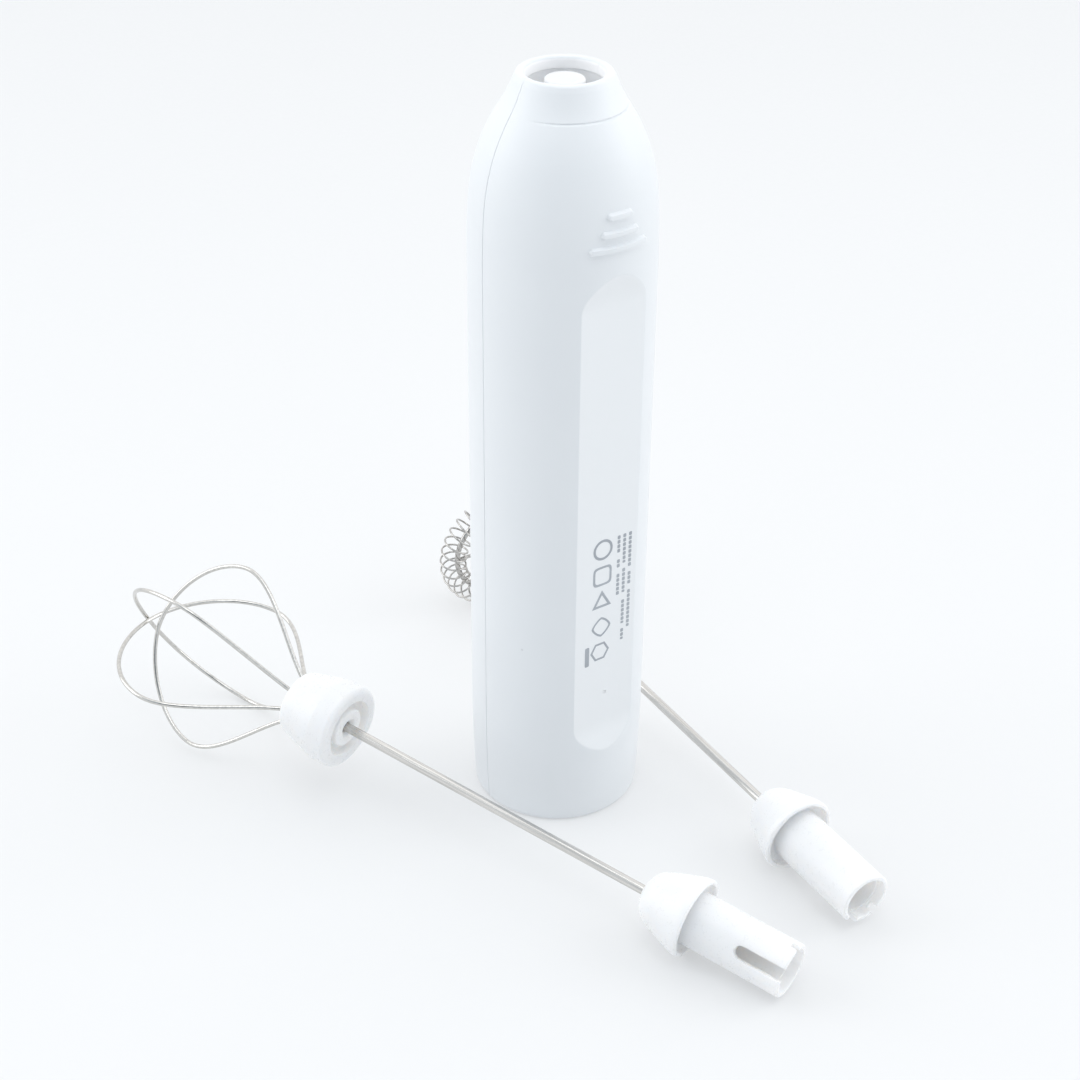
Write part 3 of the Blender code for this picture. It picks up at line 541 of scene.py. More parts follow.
MAT = {
    # casing: the lighter colour for hollows is painted fill light inside the mouth
    "casing": moulded_white("casing_white", (0.780, 0.803, 0.823), (0.763, 0.787, 0.808), rough=(0.38, 0.50), grain=0.22,
                            # the facet colour is painted light: lighter than the casing for how light falls on the flat
                            specks=0.55, facet=(0.812, 0.830, 0.845), painted_fill_light=(0.95, 0.95, 0.955)),
    # liner: painted lighter than the casing white, as fill light in the shaded neck recess
    "cup": moulded_white("liner_white_painted_fill", (0.965, 0.965, 0.968), (0.95, 0.951, 0.956), rough=(0.40, 0.52), glow=0.60),
    # connector and hub: the lighter colour for hollows is painted fill light inside the bore and the hub recess
    "part": moulded_white("connector_white", (0.822, 0.826, 0.832), (0.806, 0.811, 0.818), rough=(0.26, 0.36), grain=0.05, glow=0.90, painted_fill_light=(0.965, 0.955, 0.94)),
    "post": moulded_white("post_white", (0.745, 0.752, 0.762), (0.728, 0.736, 0.748), rough=(0.30, 0.40), grain=0.12, glow=0.60),
    "button": moulded_white("button_grey", (0.80, 0.825, 0.86), (0.78, 0.805, 0.84), rough=(0.34, 0.44), grain=0.15),
    "rod": metal("drawn_steel", (0.74, 0.725, 0.70), (0.54, 0.53, 0.51), rough=(0.14, 0.26), spots=0.5, local=True),
    "wire": metal("spring_wire", (0.70, 0.69, 0.66), (0.54, 0.53, 0.51), rough=(0.03, 0.09), streak=(1.0, 1.0, 1.0), streak_scale=1500.0, bump=0.08),
    "coil": metal("coil_wire", (0.58, 0.57, 0.55), (0.42, 0.41, 0.40), rough=(0.08, 0.16), streak=(1.0, 1.0, 1.0), streak_scale=1500.0, bump=0.08),
    "can": metal("plated_can", (0.66, 0.66, 0.67), (0.50, 0.50, 0.51), rough=(0.28, 0.40), streak=(1.0, 1.0, 0.05), streak_scale=1800.0),
    "screw": metal("screw_steel", (0.62, 0.61, 0.60), (0.45, 0.44, 0.43), rough=(0.22, 0.36), streak=(1.0, 1.0, 1.0), streak_scale=2400.0),
    "brass": metal("brass", (0.78, 0.60, 0.30), (0.60, 0.44, 0.20), rough=(0.22, 0.34), streak=(1.0, 1.0, 1.0), streak_scale=2000.0),
    "copper": metal("copper", (0.80, 0.42, 0.26), (0.58, 0.28, 0.16), rough=(0.24, 0.38), streak=(1.0, 1.0, 1.0), streak_scale=2000.0),
    "black": coloured("black_plastic", (0.035, 0.035, 0.04), (0.02, 0.02, 0.022)),
    "ferrite": coloured("ferrite", (0.10, 0.10, 0.105), (0.06, 0.06, 0.062), rough=(0.5, 0.7), scale=1600.0, bump=0.4),
    "cell": coloured("cell_sleeve", (0.10, 0.34, 0.58), (0.07, 0.26, 0.47), rough=(0.25, 0.38)),
    "rubber": coloured("seal_rubber", (0.50, 0.51, 0.53), (0.42, 0.43, 0.45), rough=(0.6, 0.78)),
    "clear": coloured("clear_lens", (0.86, 0.90, 0.95), (0.78, 0.83, 0.90), rough=(0.06, 0.14), bump=0.05, clear=0.7),
    "red": coloured("red_insulation", (0.62, 0.05, 0.03), (0.46, 0.03, 0.02), rough=(0.38, 0.52)),
    "ink": coloured("grey_print", (0.41, 0.44, 0.475), (0.34, 0.365, 0.40), rough=(0.45, 0.6), bump=0.1, spec=0.3),
    "board": board_material(),
}


def paint(obj, key):
    obj.data.materials.clear()
    obj.data.materials.append(MAT[key])
    return obj


CAD_LOOKS = {
    "shaft_seal": "rubber", "inner_frame": "black", "battery_cell": "cell", "battery_tab_lower": "screw", "battery_tab_upper": "screw",
    "circuit_board": "board", "board_screw_lower": "screw", "board_screw_upper": "screw", "tact_switch": "black", "status_led": "clear",
    "charge_port": "can", "charge_board": "board", "motor_can": "can", "motor_end_cap": "black", "motor_bush_front": "brass",
    "motor_bush_rear": "brass", "motor_magnet_right": "ferrite", "motor_magnet_left": "ferrite", "motor_brush_right": "copper",
    "motor_brush_left": "copper", "motor_terminal_right": "brass", "motor_terminal_left": "brass", "motor_mount": "black",
    "motor_screw_right": "screw", "motor_screw_left": "screw", "motor_lead_right": "red", "motor_lead_left": "black",
    "charge_lead_right": "red", "charge_lead_left": "black", "battery_lead_upper": "red", "battery_lead_lower": "black",
    "motor_shaft": "screw", "armature": "can", "commutator": "copper", "switch_plunger": "black",
}
for node_name, look in CAD_LOOKS.items():
    paint(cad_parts[node_name], look)


# =========================================================================================================
# Handle casing
# =========================================================================================================
def smooth_outline():
    """Radius of the casing for each height, smoothed so that the shoulder has no kinks."""
    knots = [(0.0, 19.30), (3.4, 19.45), (7.0, 19.65), (13.0, 19.85), (21.0, 20.0), (60.0, 20.0), (100.0, 20.0), (136.0, 20.0),
             (143.0, 19.93), (148.0, 19.74), (152.0, 19.40), (156.0, 18.72), (159.0, 17.95), (162.0, 16.95), (165.0, 15.55),
             (167.0, 14.45), (169.0, 13.20), (170.9, 12.05), (173.0, 11.05), (175.2, 10.15), (176.5, 9.65)]
    zs = np.arange(-2.0, 178.0, 0.05)
    kz, kr = np.array(knots).T
    rs = np.interp(zs, kz, kr)
    kernel_half = 40
    k = np.exp(-0.5 * (np.arange(-kernel_half, kernel_half + 1) * 0.05 / 0.9) ** 2)
    k /= k.sum()
    padded = np.concatenate([np.full(kernel_half, rs[0]), rs, np.full(kernel_half, rs[-1])])
    return zs, np.convolve(padded, k, mode="valid")


OUT_Z, OUT_R = smooth_outline()


def casing_radius(z):
    return np.interp(z, OUT_Z, OUT_R)


def smoothstep(x, a, b):
    t = np.clip((x - a) / (b - a), 0.0, 1.0)
    return t * t * (3 - 2 * t)


def soft_min(a, b, k):
    h = np.clip(0.5 + 0.5 * (b - a) / k, 0.0, 1.0)
    return b + (a - b) * h - k * h * (1.0 - h)


def facet_depth(x, z):
    """Distance from the axis plane to the flat label facet; its ends run out on shallow ramps."""
    plane = BODY_R * math.cos(math.radians(FACET_HALF_DEG))
    rise = BODY_R - plane
    soft = 4.0  # length over which the flat turns into a ramp
    past = (z - (FACET_Z[1] - FACET_RAMP[1]), FACET_Z[0] + FACET_RAMP[0] - z)
    low, top = (np.where(t < -soft / 2, 0.0, np.where(t > soft / 2, t, (t + soft / 2) ** 2 / (2 * soft))) for t in past[::-1])
    top = plane + top * rise / FACET_RAMP[1]
    low = plane + low * rise / FACET_RAMP[0]
    return np.maximum(top, low)


def rib_height(x, z, phi):
    """Three raised bars with round ends; phi is the angle from +Y."""
    total = np.zeros_like(x)
    for zc, half in RIBS:
        r = casing_radius(np.array([zc]))[0]
        along = r * phi
        core = half - 0.75
        da = np.maximum(np.abs(along) - core, 0.0)
        d = np.sqrt(da ** 2 + (z - zc) ** 2)
        total = np.maximum(total, 0.80 * (1.0 - smoothstep(d, 0.45, 0.85)))
    return total


def half_casing(name, rear, wall, body_nodes):
    """One half of the casing: a closed thin wall, from seam to seam, with its mouth, groove, facet and ribs."""
    sign = 1.0 if rear else -1.0
    seam = math.asin(0.05 / BODY_R)
    edge = math.pi / 2 - seam
    # columns, finer beside the seams and along the facet's edges
    cols = list(np.radians(np.arange(-88.0, 88.01, 1.6)))
    cols += [-edge + t / BODY_R for t in (0.0, 0.03, 0.07, 0.12, 0.18, 0.26, 0.4)]
    cols += [edge - t / BODY_R for t in (0.0, 0.03, 0.07, 0.12, 0.18, 0.26, 0.4)]
    if rear:
        cols += list(np.radians(np.arange(-27.0, 27.01, 0.5)))
        for s in (-1, 1):
            cols += list(np.radians(s * FACET_HALF_DEG + np.arange(-1.2, 1.21, 0.15)))
    else:
        cols += list(np.radians(np.arange(-22.0, 22.01, 0.8)))
    cols = np.array(sorted(cols))
    keep = [cols[0]]
    for c in cols[1:]:
        if c - keep[-1] > 0.0012 or abs(abs(c) - edge) < 0.025:
            if c - keep[-1] > 1e-5:
                keep.append(c)
    cols = np.array(keep)
    # rows of the outside, from the base to the lip
    rows = [0.0, 0.03, 0.1, 0.2, 0.35, 0.55, 0.8, 1.1, 1.5, 2.0, 2.6, 3.3]
    rows += list(np.arange(4.0, 16.0, 1.0))
    if rear:
        rows += list(np.arange(16.0, 30.0, 0.3)) + list(np.arange(30.0, 130.0, 2.5)) + list(np.arange(130.0, 143.4, 0.25))
        rows += list(np.arange(143.4, 153.4, 0.12)) + list(np.arange(153.4, 168.0, 0.4)) + list(np.arange(168.0, 170.6, 0.06))
        rows += list(np.arange(170.6, 175.0, 0.3))
    else:
        rows += list(np.arange(16.0, 118.0, 2.5)) + list(np.arange(118.0, 134.0, 0.5)) + list(np.arange(134.0, 175.0, 0.45))
    rows = np.array(rows)
    base_round = 1.3 * (1 - np.sqrt(np.clip(1 - (1 - np.clip(rows / 1.3, 0, 1)) ** 2, 0, 1)))
    radius = casing_radius(rows) - base_round
    lip = [(10.02, 175.30), (9.93, 175.52), (9.80, 175.72), (9.62, 175.87), (9.40, 175.96), (9.15, 176.0), (8.85, 175.98), (8.60, 175.90),
           (8.40, 175.77), (8.25, 175.60), (8.14, 175.38), (8.07, 175.10), (8.02, 174.75), (7.90, 174.2), (7.80, 173.7), (7.80, 173.62)]
    inner = [(9.1, 173.6), (9.1, 170.6), (11.2, 168.0), (13.9, 163.0), (15.9, 158.0)]
    limit = BODY_R - wall
    inner = [(min(r, limit), z) for r, z in inner]
    inner += [(limit - 0.7, 150.5), (limit, 143.5), (limit, 100.0), (limit, 50.0), (limit, 8.0), (limit - 0.9, 3.0), (16.0, 2.0), (16.0, 0.25), (16.25, 0.0)]
    phi = cols[None, :]
    z = rows[:, None] * np.ones_like(phi)
    r = radius[:, None] * np.ones_like(phi)
    mask = np.zeros_like(r)
    if rear:
        # groove and ledge round the neck, which fade before they reach the seams
        fade = 1.0 - smoothstep(np.abs(phi), math.radians(34), math.radians(74))
        step = smoothstep(z, GROOVE_Z - 0.05, GROOVE_Z + 0.16)
        cut = 0.05 * step * (1 - smoothstep(z, GROOVE_Z + 1.2, GROOVE_Z + 5.0)) + 0.30 * np.exp(-((z - GROOVE_Z) / 0.16) ** 2)
        r = r - fade * cut
        # flat facet
        y_here = r * np.cos(phi)
        x_here = r * np.sin(phi)
        flat = facet_depth(x_here, z) / np.cos(phi)
        cut_r = soft_min(r, flat, 0.10)
        mask = smoothstep(r - flat, -0.01, 0.05)
        r = np.where(np.abs(phi) < math.radians(40), cut_r, r)
        mask = np.where(np.abs(phi) < math.radians(40), mask, 0.0)
        r = r + rib_height(x_here, z, phi * np.ones_like(z))
    # small rounding beside the seam
    gap = (edge - np.abs(phi)) * BODY_R
    drop = 0.16 * (1 - np.sqrt(np.clip(1 - (1 - np.clip(gap / 0.16, 0, 1)) ** 2, 0, 1)))
    fade_base = smoothstep(z, 5.0, 11.0) * 0.75 + 0.25
    r = r - drop * fade_base
    loops = []
    tail = np.array(lip + inner)
    for j, c in enumerate(cols):
        rr = np.concatenate([r[:, j], tail[:, 0]])
        zz = np.concatenate([z[:, j], tail[:, 1]])
        loops.append(np.stack([rr * math.sin(c), sign * rr * math.cos(c), zz], axis=1))
    pts = np.array(loops)  # columns x profile
    count = pts.shape[1]
    faces = grid_faces(len(cols), count, close_cols=True)
    faces.append(tuple(range(count))[::-1])
    last = (len(cols) - 1) * count
    faces.append(tuple(range(last, last + count)))
    mesh = outward(mesh_from(name, pts.reshape(-1, 3) * MM, faces))
    if rear:
        # this facet mask also drives the facet's painted lighter colour in the casing material
        values = np.concatenate([mask.T, np.zeros((len(cols), len(tail)))], axis=1).reshape(-1).astype(np.float32)
        layer = mesh.attributes.new("facet", "FLOAT", "POINT")
        layer.data.foreach_set("value", values)
    # painted fill light: the inner edge of the mouth is marked for a lighter colour that lifts its shade
    return mark_painted_fill_light(mesh, lambda r, z: (r < 8.2) & (z > 172.0))


rear_mesh = half_casing("rear_casing", True, 2.8, ("rear_shell",))
rear = new_object("rear_casing", rear_mesh, "handle", ("rear_shell",), sharp=42)
paint(rear, "casing")

front_mesh = half_casing("front_casing", False, 1.8, ("front_shell",))
hole = [(BUTTON_R + 0.30, 12.0), (BUTTON_R + 0.30, 19.45), (BUTTON_R + 0.42, 19.72), (BUTTON_R + 0.75, 20.05), (BUTTON_R + 0.75, 26.0), (0, 26.0), (0, 12.0)]
hole_cut = lathe("hole_cut", hole, 96)
hole_cut.transform(Matrix.Translation((0, 0, BUTTON_Z * MM)) @ Matrix.Rotation(math.radians(90), 4, "X"))
lamp = [(1.5, 12.0), (1.5, 19.6), (1.75, 19.95), (1.75, 26.0), (0, 26.0), (0, 12.0)]
lamp_cut = lathe("lamp_cut", lamp, 48)
lamp_cut.transform(Matrix.Translation((0, 0, LED_Z * MM)) @ Matrix.Rotation(math.radians(90), 4, "X"))
front_mesh = apply_boolean(front_mesh, [hole_cut, lamp_cut])
front = new_object("front_casing", front_mesh, "handle", ("front_shell",), sharp=42)
paint(front, "casing")

# liner of the neck, whose step shows inside the mouth
cup_outline = [(8.7, 173.58), (7.80, 173.58), (7.55, 172.0), (7.25, 170.0), (CUP_R, 166.5), (CUP_R, 150.6), (2.9, 150.6), (2.9, 148.6),
               (8.0, 148.6), (8.0, 169.8), (8.7, 170.4)]
cup_mesh = lathe("neck_liner", fillet(cup_outline, [0.05, 0.05, 0.6, 1.0, 1.0, 1.0, 0.2, 0.2, 0.3, 0.3, 0.2]), 128)
# the liner takes the painted-lighter white that lifts the shade in the neck
paint(new_object("neck_liner", cup_mesh, "handle", ("neck_cup",)), "cup")

# drive post with its lug, on the spindle
post_outline = [(1.3, 151.2), (POST_R, 151.2), (POST_R, POST_TOP), (0, POST_TOP), (0, 166.4), (1.3, 166.4)]
post_mesh = lathe("post", fillet(post_outline, [0.1, 0.3, 0.55, 0, 0, 0.0]), 128)


def lug(side):
    """A key on the post: a long block with a flat outer end and a round top."""
    pts = []
    for k in range(13):
        a = math.pi * k / 12
        pts.append((1.3 * math.cos(a), 159.3 + 1.3 * math.sin(a)))
    pts += [(-1.3, 153.6), (1.3, 153.6)]
    low, high = sorted((side * 3.4, side * 5.9))
    return prism("lug", pts, low, high, axes=(1, 2, 0))


post_mesh = apply_boolean(post_mesh, [lug(1)], "UNION")
paint(new_object("drive_post_moulding", post_mesh, "spindle", ("drive_post",)), "post")


# =========================================================================================================
# Base, button, lamp
# =========================================================================================================
def stadium(half_w, r, y, n=16):
    out = [(half_w + r * math.cos(a), y + r * math.sin(a)) for a in np.linspace(-math.pi / 2, math.pi / 2, n)]
    return out + [(-half_w + r * math.cos(a), y + r * math.sin(a)) for a in np.linspace(math.pi / 2, 1.5 * math.pi, n)]


base_outline = [(0, 0.0), (15.6, 0.0), (15.6, 1.9), (14.7, 2.2), (14.7, 5.0), (13.3, 5.0), (13.3, 2.2), (0, 2.2)]
base_mesh = lathe("base_plate", fillet(base_outline, [0, 0.35, 0.2, 0.2, 0.2, 0.2, 0.4, 0]), 160)
cuts = [prism("port_cut", stadium(3.0, 1.95, PORT_Y), -2.0, 4.0)]
for sx, sy in SCREW_XY:
    cuts.append(cylinder("screw_cut", (sx, sy, -2), (sx, sy, 1.4), 2.7, 48))
    cuts.append(cylinder("bore_cut", (sx, sy, 1.0), (sx, sy, 4), 1.45, 32))
base_mesh = apply_boolean(base_mesh, cuts)
paint(new_object("base_plate", base_mesh, "handle", ("base_cap",), sharp=30), "casing")


def fine_screw(name, top, head_r, head_l, shank_r, shank_l, pitch=0.5, seg=48):
    """Pan-head screw along +Z, head first, with a cross recess and a threaded shank."""
    outline = [(0, 0), (head_r, 0), (head_r, head_l), (shank_r, head_l)]
    radii = [0, min(0.5, head_l * 0.6), 0.08, 0.1]
    outline = fillet(outline + [(shank_r, head_l + 0.4)], radii + [0])
    z = head_l + 0.5
    while z < head_l + shank_l - 1.0:
        outline += [(shank_r * 0.78, z), (shank_r * 0.78, z + pitch * 0.3), (shank_r, z + pitch * 0.55), (shank_r, z + pitch * 0.7)]
        z += pitch
    outline += [(shank_r * 0.7, head_l + shank_l - 0.7), (0.15, head_l + shank_l), (0, head_l + shank_l)]
    mesh = lathe(name, outline, seg)
    cross = []
    for turn in (0, math.pi / 2):
        w, l = head_r * 0.13, head_r * 0.62
        cut = prism("cross", [(-l, -w), (l, -w), (l, w), (-l, w)], -1.0, head_l * 0.62)
        cut.transform(Matrix.Rotation(turn, 4, "Z"))
        cross.append(cut)
    mesh = apply_boolean(mesh, cross)
    mesh.transform(Matrix.Translation(Vector(top) * MM))
    return mesh


for (sx, sy), side in zip(SCREW_XY, ("right", "left")):
    screw = fine_screw("base_screw_fine_" + side, (sx, sy, 0.1), 2.3, 1.0, 1.1, 8.0)
    paint(new_object("base_screw_fine_" + side, screw, "handle", ("base_screw_" + side,)), "screw")

button_outline = [(0, 15.9), (6.6, 15.9), (6.6, 16.5), (BUTTON_R, 16.7), (BUTTON_R, 20.35), (4.9, 20.42), (2.6, 20.12), (0, 20.02)]
button_mesh = lathe("button_cap", fillet(button_outline, [0, 0.15, 0.15, 0.2, 0.45, 1.6, 2.4, 0]), 128)
button_mesh.transform(Matrix.Rotation(math.radians(90), 4, "X"))
button_mesh.transform(Matrix.Translation((0, 0, BUTTON_Z * MM)))
paint(new_object("button_cap", button_mesh, "button", ("power_button",)), "button")

pipe_mesh = lathe("lamp_lens", fillet([(0, 13.5), (1.2, 13.5), (1.2, 19.9), (0, 19.98)], [0, 0.15, 0.35, 0]), 48)
pipe_mesh.transform(Matrix.Rotation(math.radians(90), 4, "X"))
pipe_mesh.transform(Matrix.Translation((0, 0, LED_Z * MM)))
paint(new_object("lamp_lens", pipe_mesh, "handle", ("light_pipe",)), "clear")


# =========================================================================================================
# Print on the facet: plain bars and plain shapes, and the small gate mark
# =========================================================================================================
def print_mesh():
    """Thin flat shapes on the facet. x runs across the facet and z down it; plain bars stand for lines of print."""
    y0 = BODY_R * math.cos(math.radians(FACET_HALF_DEG)) + 0.004
    thick = 0.02
    shapes = []

    def slab(outline, holes=()):
        shapes.append((outline, holes))

    def bar(x, z0, z1, w):
        r = w * 0.28
        pts = []
        for cx, cz, a0 in ((x + w / 2 - r, z1 - r, 0), (x - w / 2 + r, z1 - r, 90), (x - w / 2 + r, z0 + r, 180), (x + w / 2 - r, z0 + r, 270)):
            for k in range(4):
                a = math.radians(a0 + 30 * k)
                pts.append((cx + r * math.cos(a), cz + r * math.sin(a)))
        slab(pts)

    def ring(x, z, r, w, n=40, squareness=2.0, half_z=None):
        def curve(rx, rz):
            out = []
            for k in range(n):
                a = 2 * math.pi * k / n
                c, s = math.cos(a), math.sin(a)
                out.append((x + rx * math.copysign(abs(c) ** (2 / squareness), c), z + rz * math.copysign(abs(s) ** (2 / squareness), s)))
            return out
        slab(curve(r, half_z or r), (curve(r - w, (half_z or r) - w),))

    def polygon_ring(x, z, r, w, sides, turn=0.0):
        def curve(rad):
            return [(x + rad * math.cos(2 * math.pi * k / sides + turn), z + rad * math.sin(2 * math.pi * k / sides + turn)) for k in range(sides)]
        slab(curve(r), (curve(r - w / math.cos(math.pi / sides)),))

    # three lines of small bars
    for x, pieces in ((-6.3, ((75.6, 66.4), (65.2, 61.6), (60.4, 50.2))), (-4.75, ((75.6, 67.8), (66.6, 60.0), (58.2, 51.6), (50.4, 47.2))),
                      (-3.2, ((75.6, 70.6), (69.4, 66.8), (65.6, 59.8)))):
        for hi, lo in pieces:
            z = hi
            while z > lo + 0.4:
                nxt = max(lo, z - 1.15)
                bar(x, nxt + 0.22, z, 0.78)
                z = nxt
    # a row of plain shapes
    ring(1.1, 73.4, 2.6, 0.62)
    ring(1.1, 66.6, 2.5, 0.55, squareness=5.0)
    polygon_ring(1.1, 59.8, 3.0, 0.60, 3, math.pi / 2)
    ring(1.1, 53.0, 2.6, 0.55, squareness=1.0001 + 0.35)
    polygon_ring(1.3, 46.4, 2.6, 0.50, 6, 0.0)
    bar(4.8, 43.4, 48.6, 1.15)

    points, faces = [], []
    for outline, holes in shapes:
        if not holes:
            n = len(outline)
            start = len(points)
            for level in (y0, y0 + thick):
                points.extend([(x, level, z) for x, z in outline])
            faces.append(tuple(range(start, start + n)))
            faces.append(tuple(range(start + n, start + 2 * n))[::-1])
            faces += [(start + i, start + n + i, start + n + (i + 1) % n, start + (i + 1) % n) for i in range(n)]
        else:
            inner = holes[0]
            n = len(outline)
            start = len(points)
            for level in (y0, y0 + thick):
                points.extend([(x, level, z) for x, z in outline])
                points.extend([(x, level, z) for x, z in inner])
            o0, i0, o1, i1 = start, start + n, start + 2 * n, start + 3 * n
            for k in range(n):
                m = (k + 1) % n
                faces += [(o0 + k, o0 + m, i0 + m, i0 + k), (o1 + k, i1 + k, i1 + m, o1 + m),
                          (o0 + k, o1 + k, o1 + m, o0 + m), (i0 + k, i0 + m, i1 + m, i1 + k)]
    return outward(mesh_from("facet_print", np.array(points) * MM, faces))


paint(new_object("facet_print", print_mesh(), "handle", sharp=30), "ink")

gate_y = BODY_R * math.cos(math.radians(FACET_HALF_DEG))
gate_mesh = lathe("gate_mark", fillet([(0, -0.25), (0.42, -0.25), (0.42, 0.05), (0.22, 0.05), (0.16, -0.02), (0, -0.02)], [0, 0, 0.04, 0.03, 0, 0]), 32)
gate_mesh.transform(Matrix.Translation((-0.4 * MM, gate_y * MM, 34.5 * MM)) @ Matrix.Rotation(math.radians(-90), 4, "X"))
paint(new_object("gate_mark", gate_mesh, "handle"), "cup")


# =========================================================================================================
# Attachments
# =========================================================================================================
def attachment_matrix(at, azimuth, tilt):
    """Local +Z runs from the connector to the head, and the collar lies on the floor."""
    az, tl = math.radians(azimuth), math.radians(tilt)
    d = Vector((math.cos(az) * math.cos(tl), math.sin(az) * math.cos(tl), math.sin(tl)))
    u = Vector((0, 0, 1)).cross(d).normalized()
    v = d.cross(u)
    return Matrix.Translation(Vector((at[0], at[1], COLLAR_R * math.cos(tl))) * MM) @ Matrix((u, v, d)).transposed().to_4x4()


WHISK = attachment_matrix(WHISK_AT, WHISK_AZ, WHISK_TILT)
FROTHER = attachment_matrix(FROTHER_AT, FROTHER_AZ, FROTHER_TILT)


def connector_mesh(name, slot_deg, notch_deg):
    """Domed collar and hollow barrel, with a wider lead-in, one round-ended slot and a small notch in the rim."""
    outline = [(4.75, -BARREL_L + 2.5), (5.15, -BARREL_L + 2.5), (5.15, -BARREL_L), (BARREL_R, -BARREL_L), (BARREL_R, 1.3), (8.1, 1.3), (8.1, 0.0), (COLLAR_R, 0.0), (9.12, 1.6), (8.62, 3.4),
               (7.62, 6.3), (6.62, 9.1), (5.75, 10.9), (4.55, 12.2), (3.0, 13.0), (1.3, 13.25), (1.42, 2.6), (0, 2.6), (0, 0.4), (BORE_R, 0.4)]
    radii = [0.10, 0.05, 0.15, 0.45, 0.35, 0.3, 0.3, 0.55, 2.0, 5.0, 6.0, 5.0, 2.6, 2.2, 1.4, 0.25, 0.0, 0.0, 0.0, 0.6]
    mesh = lathe(name, fillet(outline, radii, step=math.radians(7)), 144)
    cuts = []
    slots = [(slot_deg, SLOT_FROM)]
    for deg, start in slots:
        rows = []
        for radial, grow in ((2.6, 0.0), (BARREL_R - 0.22, 0.0), (BARREL_R + 0.05, 0.24), (BARREL_R + 2.6, 0.24)):
            half = SLOT_W / 2 + grow
            ring = [(half * math.cos(math.pi * k / 20), start - SLOT_W / 2 + half * math.sin(math.pi * k / 20)) for k in range(21)]
            ring += [(-half, -BARREL_L - 2.0), (half, -BARREL_L - 2.0)]
            rows.append([(radial, y, z) for y, z in ring])
        pts = np.array(rows).reshape(-1, 3)
        n = len(rows[0])
        faces = grid_faces(len(rows), n, close_cols=True)
        faces.append(tuple(range(n))[::-1])
        faces.append(tuple(range((len(rows) - 1) * n, len(rows) * n)))
        cut = outward(mesh_from("slot", pts * MM, faces))
        cut.transform(Matrix.Rotation(math.radians(deg), 4, "Z"))
        cuts.append(cut)
    # short relief in the end rim
    cut = prism("notch", [(-0.95, -BARREL_L - 1), (0.95, -BARREL_L - 1), (0.75, -BARREL_L + 1.7), (-0.75, -BARREL_L + 1.7)], 4.0, 8.0, axes=(1, 2, 0))
    cut.transform(Matrix.Rotation(math.radians(notch_deg), 4, "Z"))
    cuts.append(cut)
    # painted fill light: the bore and the inside of the barrel are marked for a lighter colour that lifts their shade
    return mark_painted_fill_light(apply_boolean(mesh, cuts), lambda r, z: (r < 5.3) & (z < 0.6))


paint(new_object("whisk_coupling", connector_mesh("whisk_coupling", WHISK_SLOT_DEG, WHISK_NOTCH_DEG), "whisk_attachment", ("whisk_connector",), WHISK), "part")
paint(new_object("frother_coupling", connector_mesh("frother_coupling", FROTHER_SLOT_DEG, FROTHER_NOTCH_DEG), "frother_attachment", ("frother_connector",), FROTHER), "part")


def rod_mesh(name, z0, z1):
    rows = int((z1 - z0) / 3.0)
    side = [(ROD_R, z0 + (z1 - z0) * k / rows) for k in range(rows + 1)]
    outline = [(0, z0)] + [(ROD_R - 0.15, z0)] + [(ROD_R, z0 + 0.15)] + side[1:-1] + [(ROD_R, z1 - 0.15), (ROD_R - 0.15, z1), (0, z1)]
    return lathe(name, outline, 48)


paint(new_object("whisk_shaft", rod_mesh("whisk_shaft", 3.0, HUB_AT + 8.0), "whisk_attachment", ("whisk_rod",), WHISK), "rod")
paint(new_object("frother_shaft", rod_mesh("frother_shaft", 3.0, RING_AT - 2.3), "frother_attachment", ("frother_rod",), FROTHER), "rod")


def loop_path(angle, wide, wide_at, reach, roundness, legs=70, tip=110):
    """A balloon wire: legs that spread from the hub, and a round tip; even spacing along its length."""
    root_s, root_w = LOOP_ROOT
    slope = (wide - root_w) / wide_at * LEG_SPREAD
    t = np.linspace(0, 1, legs)
    h00, h10, h01 = 2 * t ** 3 - 3 * t ** 2 + 1, t ** 3 - 2 * t ** 2 + t, -2 * t ** 3 + 3 * t ** 2
    s, w = wide_at * t, h00 * root_w + h10 * wide_at * slope + h01 * wide
    a = np.linspace(0, np.pi / 2, tip)
    s2 = wide_at + (reach - wide_at) * np.sin(a) ** (2 / roundness)
    w2 = wide * np.cos(a) ** (2 / roundness)
    s = np.concatenate([[-3.2], s, s2[1:]])
    w = np.concatenate([[root_w - 1.0], w, w2[1:]])
    s = np.concatenate([s, s[-2::-1]])
    w = np.concatenate([w, -w[-2::-1]])
    line = np.stack([s, w], 1)
    length = np.concatenate([[0], np.cumsum(np.linalg.norm(np.diff(line, axis=0), axis=1))])
    even = np.linspace(0, length[-1], 260)
    line = np.stack([np.interp(even, length, line[:, k]) for k in (0, 1)], 1)
    for _ in range(3):  # ease the joins between legs and tip
        line[1:-1] = 0.25 * line[:-2] + 0.5 * line[1:-1] + 0.25 * line[2:]
    ang = math.radians(angle)
    return np.stack([line[:, 1] * math.cos(ang), line[:, 1] * math.sin(ang), root_s + line[:, 0]], 1)


